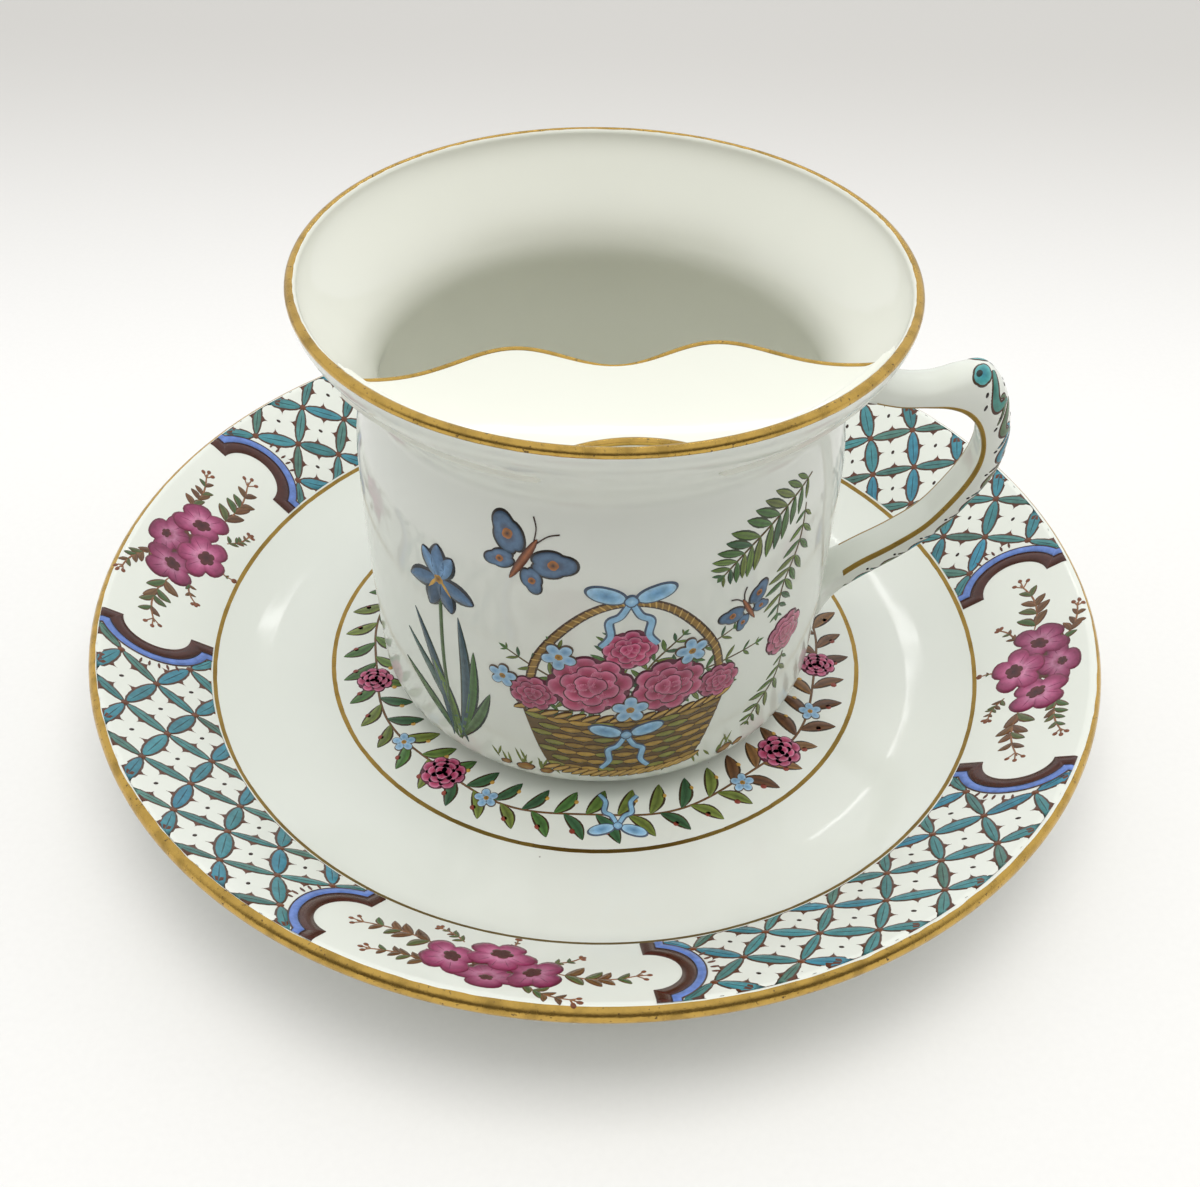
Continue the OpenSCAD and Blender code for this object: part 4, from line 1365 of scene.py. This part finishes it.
def scroll_picture(run):
    """Scrolls down both shoulders of the handle's ridge: olive and turquoise strokes outlined in brown,
    each with a barb and black dots beside it, from an eye on either side of the spur."""
    art = Painting()
    codes = ["#4a8a80", "#5f7858", "#3f8a9c", "#6b7650"]
    brown, black = shade("#4a2c1c"), shade("#241a16")
    for side in (-1, 1):
        mirror = np.array([1, side])
        for n, x in enumerate(np.arange(24.8, run - 12, 5.8)):
            bow_out = [(x, 0.7), (x + 0.9, 2.1), (x + 2.4, 3.5), (x + 4.1, 3.5), (x + 5.2, 1.6)]
            path = curve(bow_out, 26) * mirror
            art.stroke(path, 2.3, 0, brown, taper=0.65)
            art.stroke(path, 1.5, 1, shade(codes[n % 4]), taper=0.7)
            barb = curve([(x + 3.2, 2.7), (x + 4.2, 2.0), (x + 5.6, 3.1), (x + 6.6, 4.6)], 16) * mirror
            art.edged_stroke(barb, (1.2, 0.6), 0, brown, shade(codes[(n + 1) % 4]), taper=0.7)
            art.dots(np.array([(x + 0.2, 3.9), (x + 1.3, 4.9), (x + 3.4, 0.6)]) * mirror, 0.34, 2, black)
        eye = np.array([23.0, 1.9]) * mirror
        blues = shades("#2f7f92", "#43999f", "#62b0b0")
        art.edged_blossom(eye, (1.75, 1.5), 5, 2, shade("#4a3a2c"), blues, 0, 1, 0.06)
        art.dots([eye - (0.6, 0)], 0.7, 4, shade("#20302c"))
    return art


# Operators, one for each group of pieces


class BuildSaucer(bpy.types.Operator):
    """Turns the saucer and its three gilt lines"""

    bl_idname = "china.build_saucer"
    bl_label = "Saucer"

    def execute(self, context):
        s = sizes().saucer
        line = saucer_half(s)
        t = line_lengths(line)
        lip_at = t[np.argmax(line[:, 0])]
        top = line[:, 1] > s.mid_z + s.lip_r - 0.01
        # First and last distance of each strip, its wear, and its added width at the front on the left:
        # the gold goes from under the lip over its round to the painting, and the lines are 1.1 mm wide
        strips = {"saucer_lip_gold": (lip_at - 1.2, lip_at + 2.15, 0.35, 0.8)}
        for name, r in (("saucer_border_gold", s.band_d / 2), ("saucer_centre_gold", s.ring_d / 2)):
            later = (t > lip_at) & top
            at = np.interp(-r, -line[later, 0], t[later])
            strips[name] = (at - 0.55, at + 0.55, 0.16, 0)
        cores = [strip_core(*strip) for strip in strips.values()]
        china, shape = shared_material("china_outside"), turned_mesh(sunk_line(line, cores), 512)
        new_piece("saucer_china", shape, china, "saucer", ["saucer_dish"])
        nodes = ("saucer_lip_gilding", "saucer_band_line", "saucer_centre_line")
        for (name, strip), node in zip(strips.items(), nodes):
            gold = shared_material("gold_worn" if "lip" in name else "gold_line")
            new_piece(name, gold_strip_mesh(line, 1440, *strip), gold, "saucer", [node])
        return {"FINISHED"}


class BuildCup(bpy.types.Operator):
    """Turns the cup's body and the gold on its rim"""

    bl_idname = "china.build_cup"
    bl_label = "Cup"

    def execute(self, context):
        c = sizes().cup
        line = cup_line(c)
        rim_at = line_lengths(line)[np.argmax(line[:, 0])]
        # The rim's gold goes from below the widest place over the lip and down inside
        strip = (rim_at - 0.6, rim_at + 2.2, 0.35)
        sunk = sunk_line(line, [strip_core(*strip)])
        # The most columns that keep the piece under 200,000 triangles, in a round number
        columns = 300
        shape = turned_mesh(sunk + [0, c.well_z], columns)
        china = [shared_material("china_outside"), shared_material("china_inside")]
        piece = new_piece("cup_china", shape, china, "cup", ["cup_bowl"])
        # The glaze inside is a little warmer: faces past the top of the rim take it
        over = np.argmax(sunk[:, 1])
        index = np.zeros(len(piece.data.polygons), dtype=np.int32)
        index[over * columns : (len(sunk) - 3) * columns] = 1
        index[-columns:] = 1
        piece.data.polygons.foreach_set("material_index", index)
        gold = shared_material("gold_worn")
        shape = gold_strip_mesh(line + [0, c.well_z], 1200, *strip)
        new_piece("cup_rim_gold", shape, gold, "cup", ["cup_rim_gilding"])
        return {"FINISHED"}


class BuildGuard(bpy.types.Operator):
    """Lays the dished moustache guard across the mouth, with gold on its free edge and its slot"""

    bl_idname = "china.build_guard"
    bl_label = "Moustache guard"

    def execute(self, context):
        sz = sizes()
        c, g = sz.cup, sz.guard
        wall = inner_wall(c)
        into = 0.7

        def wall_y(x):
            """Where the guard ends in the cup's wall, a little way in: found by six rounds of height,
            then radius."""
            y = -np.sqrt(np.clip(c.rim_d**2 / 4 - 4 - x**2, 0, None))
            for _ in range(6):
                r = np.interp(guard_top(g, x, y), wall[:, 1], wall[:, 0]) + into
                y = -np.sqrt(np.clip(r**2 - x**2, 0, None))
            return y

        # Half width of the guard: where its free edge meets the wall
        test = np.linspace(28, 43, 3000)
        reach = test[np.argmax(guard_edge(g, test) < wall_y(test))] - 0.02
        x = reach * np.sin(np.linspace(-np.pi / 2, np.pi / 2, 241))
        half = g.thickness / 2
        back = guard_edge(g, x) - half
        round_y = -g.slot_y - g.slot_r + np.sqrt(np.clip(g.slot_r**2 - x**2, 0, None))
        slot = np.where(np.abs(x) < g.slot_r, round_y, -99)
        front = np.maximum(wall_y(x), slot + half)
        back = np.maximum(back, front + 0.02)
        # Each column is a closed section: along the top, round the front, back below, round the edge
        run = (1 - np.cos(np.linspace(0, np.pi, 56))) / 2
        turn = np.linspace(0, np.pi, 9)[1:-1]
        share = np.concatenate([run, np.ones(7), run[::-1], np.zeros(7)])
        push = np.concatenate([0 * run, np.sin(turn), 0 * run, -np.sin(turn)])
        lift = np.concatenate([0 * run + 1, np.cos(turn), 0 * run - 1, -np.cos(turn)])
        y = back[:, None] + (front - back)[:, None] * share - half * push
        px = np.repeat(x[:, None], y.shape[1], axis=1)
        top = guard_top(g, px, y)
        gap = np.clip(np.interp(top, wall[:, 1], wall[:, 0]) - np.hypot(px, y), 0, None)
        # Where it is luted to the wall, a fillet of slip runs up to it and a smaller one below
        fillet = np.where(lift > 0, 1.9, 1.2)
        near = np.clip(fillet - gap, 0, fillet)
        raise_by = (fillet - np.sqrt(fillet**2 - near**2)) * np.sign(lift)
        z = top - half + half * lift + raise_by
        shape = loft_mesh(turned_to_guard(g, np.stack([px, y, z + c.well_z], axis=-1)))
        china = shared_material("china_inside")
        new_piece("guard_china", shape, china, "cup", ["moustache_guard"])

        def gild(name, x, y, sink, half_width, half_height, node):
            """Rolled gold along a path on the guard, with its middle a little under the surface."""
            path = np.stack([x, y, guard_top(g, x, y) - sink + c.well_z], axis=-1)
            shape = loft_mesh(swept_rings(turned_to_guard(g, path), half_width, half_height))
            new_piece(name, shape, shared_material("gold_worn"), "cup", [node])

        # The free edge: rubbed thin at its middle dip and fading out before the wall
        x = np.linspace(-reach + 0.8, reach - 0.6, 260)
        fade = np.sqrt(np.clip(1 - (np.abs(np.linspace(-1, 1, 260))) ** 40, 0.0004, 1))
        thin = fade * (1 - 0.3 * np.exp(-((x / 5) ** 2)))
        y = guard_edge(g, x) - 0.55
        gild("guard_edge_gold", x, y, 0.33, 0.52 * thin, 0.45 * thin, "guard_edge_gilding")
        # The drinking slot's round edge, as far as the wall
        a = np.linspace(np.pi, 0, 140)
        x = (g.slot_r + 0.55) * np.cos(a)
        y = -g.slot_y - g.slot_r + (g.slot_r + 0.55) * np.sin(a)
        clear = np.hypot(x, y) < np.interp(g.z, wall[:, 1], wall[:, 0]) + 0.4
        x, y, full = x[clear], y[clear], np.ones(clear.sum())
        gild("guard_slot_gold", x, y, 0.34, 0.66 * full, 0.5 * full, "guard_slot_gilding")
        return {"FINISHED"}


class BuildHandle(bpy.types.Operator):
    """Sweeps the moulded handle with its thumb spur"""

    bl_idname = "china.build_handle"
    bl_label = "Handle"

    def execute(self, context):
        sz = sizes()
        u, turn = np.linspace(0, len(STRAP) - 1, 260), np.arange(96) * 2 * np.pi / 96
        shape = loft_mesh(strap_points(sz, u, turn)[:, ::-1])
        new_piece("handle_china", shape, shared_material("china_outside"), "cup", ["handle"])

        # Gilt lines along both edges of the flat inner side, with their borders under the glaze
        u = np.linspace(1.15, len(STRAP) - 2.2, 240)
        middle = strap_points(sz, u, np.radians([0.0, 180.0])).mean(axis=1, keepdims=True)
        under = -0.08
        high = np.tile([[under], [0.03], [0.05], [0.05], [0.03], [under]], (len(u), 1, 1))
        high[[0, -1]] = under
        points, faces = [], []
        for side in (1, -1):
            grid = strap_points(sz, u, side * np.radians([98, 103, 116, 132, 146, 151]))
            away = grid - middle
            away /= np.linalg.norm(away, axis=2, keepdims=True)
            own = grid_faces(len(u), 6, start=len(u) * 6 * len(points))
            points.append((grid + away * high).reshape(-1, 3))
            faces.append(own if side > 0 else own[:, ::-1])
        shape = np.concatenate(points), faces
        new_piece("handle_gold_lines", shape, shared_material("gold_line"), "cup")
        return {"FINISHED"}


class PaintBorder(bpy.types.Operator):
    """Paints the saucer's border: four runs of trellis and four reserves with flowers"""

    bl_idname = "china.paint_border"
    bl_label = "Border painting"

    def execute(self, context):
        s = sizes().saucer
        looks = context.scene.china_enamels
        rng = np.random.default_rng(5)
        place = on_saucer(s)
        for n, middle in enumerate(RESERVE_MIDDLES):
            art = trellis_painting(middle + np.pi / 4, rng, looks)
            art.piece(f"trellis_{n + 1}", place, "saucer", "saucer_china")
            art = reserve_painting(middle, rng, looks)
            art.piece(f"reserve_{n + 1}", place, "saucer", "saucer_china")
        return {"FINISHED"}


class PaintPictures(bpy.types.Operator):
    """Paints the flower basket, the spray on the back, the wreath in the well and the handle's scrolls"""

    bl_idname = "china.paint_pictures"
    bl_label = "Pictures"

    def execute(self, context):
        sz = sizes()
        rng = np.random.default_rng(11)
        front, back = on_cup(sz.cup, np.radians(-90)), on_cup(sz.cup, np.radians(90))
        cup_picture(rng).piece("basket_picture", front, "cup", "cup_china")
        back_picture(rng).piece("back_spray", back, "cup", "cup_china")
        wreath_picture(rng).piece("wreath_picture", on_saucer(sz.saucer), "saucer", "saucer_china")
        u = np.linspace(0, len(STRAP) - 1, 400)
        run = line_lengths(strap_points(sz, u, np.array([0.0]))[:, 0][:, [0, 2]])[-1]
        scroll_picture(run).piece("handle_scrolls", on_ridge(sz), "cup", "cup_china")
        return {"FINISHED"}


# Camera of the photograph, found from its circles: place in mm, then yaw, pitch and roll in radians
CAMERA_PLACE = (0.683, -193.322, 191.360)
CAMERA_TURNS = (-0.000912, 0.729579, 0.026392)


def stand(holder, right, up, back, place):
    """Puts a lamp or camera into the scene by its three axes and its place in metres."""
    matrix = np.eye(4)
    matrix[:3] = np.stack([right, up, back, place], axis=1)
    holder.matrix_world = Matrix(matrix.tolist())
    bpy.context.scene.collection.objects.link(holder)


def soft_light(name, place, target_z, size, power, tint):
    """A rectangular light that looks at a height on the object's axis. A softbox isn't mirrored."""
    lamp = bpy.data.lights.new(name, "AREA")
    lamp.shape = "RECTANGLE"
    lamp.size, lamp.size_y = size
    lamp.energy = power
    lamp.color = linear(tint)
    holder = bpy.data.objects.new(name, lamp)
    holder.visible_glossy = "softbox" not in name
    place = np.array(place, float)
    back = place - np.array([0, 0, target_z], float)
    back /= np.linalg.norm(back)
    right = np.cross([0, 1, 0.001], back)
    right /= np.linalg.norm(right)
    stand(holder, right, np.cross(back, right), back, place)


class BuildStage(bpy.types.Operator):
    """Lays the pale floor, hangs the soft lights and sets the camera"""

    bl_idname = "china.build_stage"
    bl_label = "Stage"

    def execute(self, context):
        looks = context.scene.china_studio
        half, count = 3000, 13
        x, y = np.meshgrid(np.linspace(-half, half, count), np.linspace(-half, half, count))
        points = np.stack([x.ravel(), y.ravel(), 0 * x.ravel()], axis=1)
        mesh = bpy.data.meshes.new("studio_floor")
        mesh.from_pydata((points * MM).tolist(), [], grid_faces(count, count).tolist())
        mesh.materials.append(matt_board("matt_board", looks.floor))
        floor = bpy.data.objects.new("studio_floor", mesh)
        context.scene.collection.objects.link(floor)
        floor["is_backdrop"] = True

        world = bpy.data.worlds.new("soft_room")
        context.scene.world = world
        world.use_nodes = True
        tree = world.node_tree
        sky = tree.nodes["Background"]
        sky.inputs["Strength"].default_value = looks.sky_strength
        # A light tent that is open and dim low at the front, which gives the gold its dark lines
        way = add_node(tree, "ShaderNodeTexCoord").outputs["Generated"]
        axes = add_node(tree, "ShaderNodeSeparateXYZ", Vector=way)
        low = add_node(tree, "ShaderNodeMapRange", Value=axes.outputs["Z"], From_Min=0.82, From_Max=0.45)
        ahead = add_node(tree, "ShaderNodeMapRange", Value=axes.outputs["Y"], From_Min=-0.1, From_Max=-0.5)
        both = {"in0": low.outputs["Result"], "in1": ahead.outputs["Result"]}
        dim = add_node(tree, "ShaderNodeMath", {"operation": "MULTIPLY"}, **both).outputs["Value"]
        bright, dark = rgba(linear("#f5f6f8")), rgba(linear("#706c65"))
        tent = add_node(tree, "ShaderNodeMix", COLOURS, in0=dim, in6=bright, in7=dark)
        tree.links.new(tent.outputs[2], sky.inputs["Color"])

        soft_light("overhead_softbox", (0.03, -0.06, 0.8), 0, (0.6, 0.5), looks.key_power, "#fffdf6")
        soft_light("strip_lamp", (0.05, 0.6, 0.62), 0.06, (0.16, 0.015), 0.06, "#ffffff")
        soft_light("left_softbox", (-0.75, -0.25, 0.55), 0.03, (0.5, 0.4), looks.fill_power, "#fbfcff")
        soft_light("right_softbox", (0.75, 0.05, 0.55), 0.03, (0.5, 0.4), looks.fill_power, "#fffaf2")

        lens = bpy.data.cameras.new("photo_camera")
        lens.sensor_width, lens.sensor_fit = 36.0, "HORIZONTAL"
        lens.lens = looks.lens
        lens.clip_start, lens.clip_end = 0.01, 20
        camera = bpy.data.objects.new("photo_camera", lens)
        yaw, pitch, roll = CAMERA_TURNS
        ahead = np.array([np.sin(yaw) * np.cos(pitch), np.cos(yaw) * np.cos(pitch), -np.sin(pitch)])
        sideways = np.array([np.cos(yaw), -np.sin(yaw), 0])
        upward = np.cross(sideways, ahead)
        right = sideways * np.cos(roll) + upward * np.sin(roll)
        up = upward * np.cos(roll) - sideways * np.sin(roll)
        stand(camera, right, up, -ahead, np.array(CAMERA_PLACE) * MM)
        context.scene.camera = camera
        context.scene.view_settings.view_transform = "Standard"
        return {"FINISHED"}


class ChinaPanel(bpy.types.Panel):
    """Lists the operators and the sizes and colours that they read"""

    bl_idname = "VIEW3D_PT_china"
    bl_label = "Moustache cup"
    bl_space_type = "VIEW_3D"
    bl_region_type = "UI"
    bl_category = "Moustache cup"

    def draw(self, context):
        for operator in OPERATORS:
            self.layout.operator(operator.bl_idname)
        for key, group in GROUPS.items():
            box = self.layout.box()
            box.label(text=group.__doc__)
            for name in group.__annotations__:
                box.prop(getattr(context.scene, key), name)


GROUPS = {
    "china_saucer": SaucerSizes,
    "china_cup": CupSizes,
    "china_guard": GuardSizes,
    "china_handle": HandleSizes,
    "china_looks": GlazeLooks,
    "china_enamels": EnamelLooks,
    "china_studio": StudioLooks,
}
OPERATORS = [BuildStage, BuildSaucer, BuildCup, BuildGuard, BuildHandle, PaintBorder, PaintPictures]


def register():
    for group in GROUPS.values():
        bpy.utils.register_class(group)
    for operator in OPERATORS:
        bpy.utils.register_class(operator)
    bpy.utils.register_class(ChinaPanel)
    for key, group in GROUPS.items():
        setattr(bpy.types.Scene, key, bpy.props.PointerProperty(type=group))


def unregister():
    for key in GROUPS:
        delattr(bpy.types.Scene, key)
    bpy.utils.unregister_class(ChinaPanel)
    for operator in reversed(OPERATORS):
        bpy.utils.unregister_class(operator)
    for group in reversed(GROUPS.values()):
        bpy.utils.unregister_class(group)


def main():
    register()
    for operator in OPERATORS:
        family, name = operator.bl_idname.split(".")
        getattr(getattr(bpy.ops, family), name)()
    boxes = {"cad": cad_box, "visual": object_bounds()}
    {key: [list(corner) for corner in box] for key, box in boxes.items()}


if __name__ == "__main__":
    main()
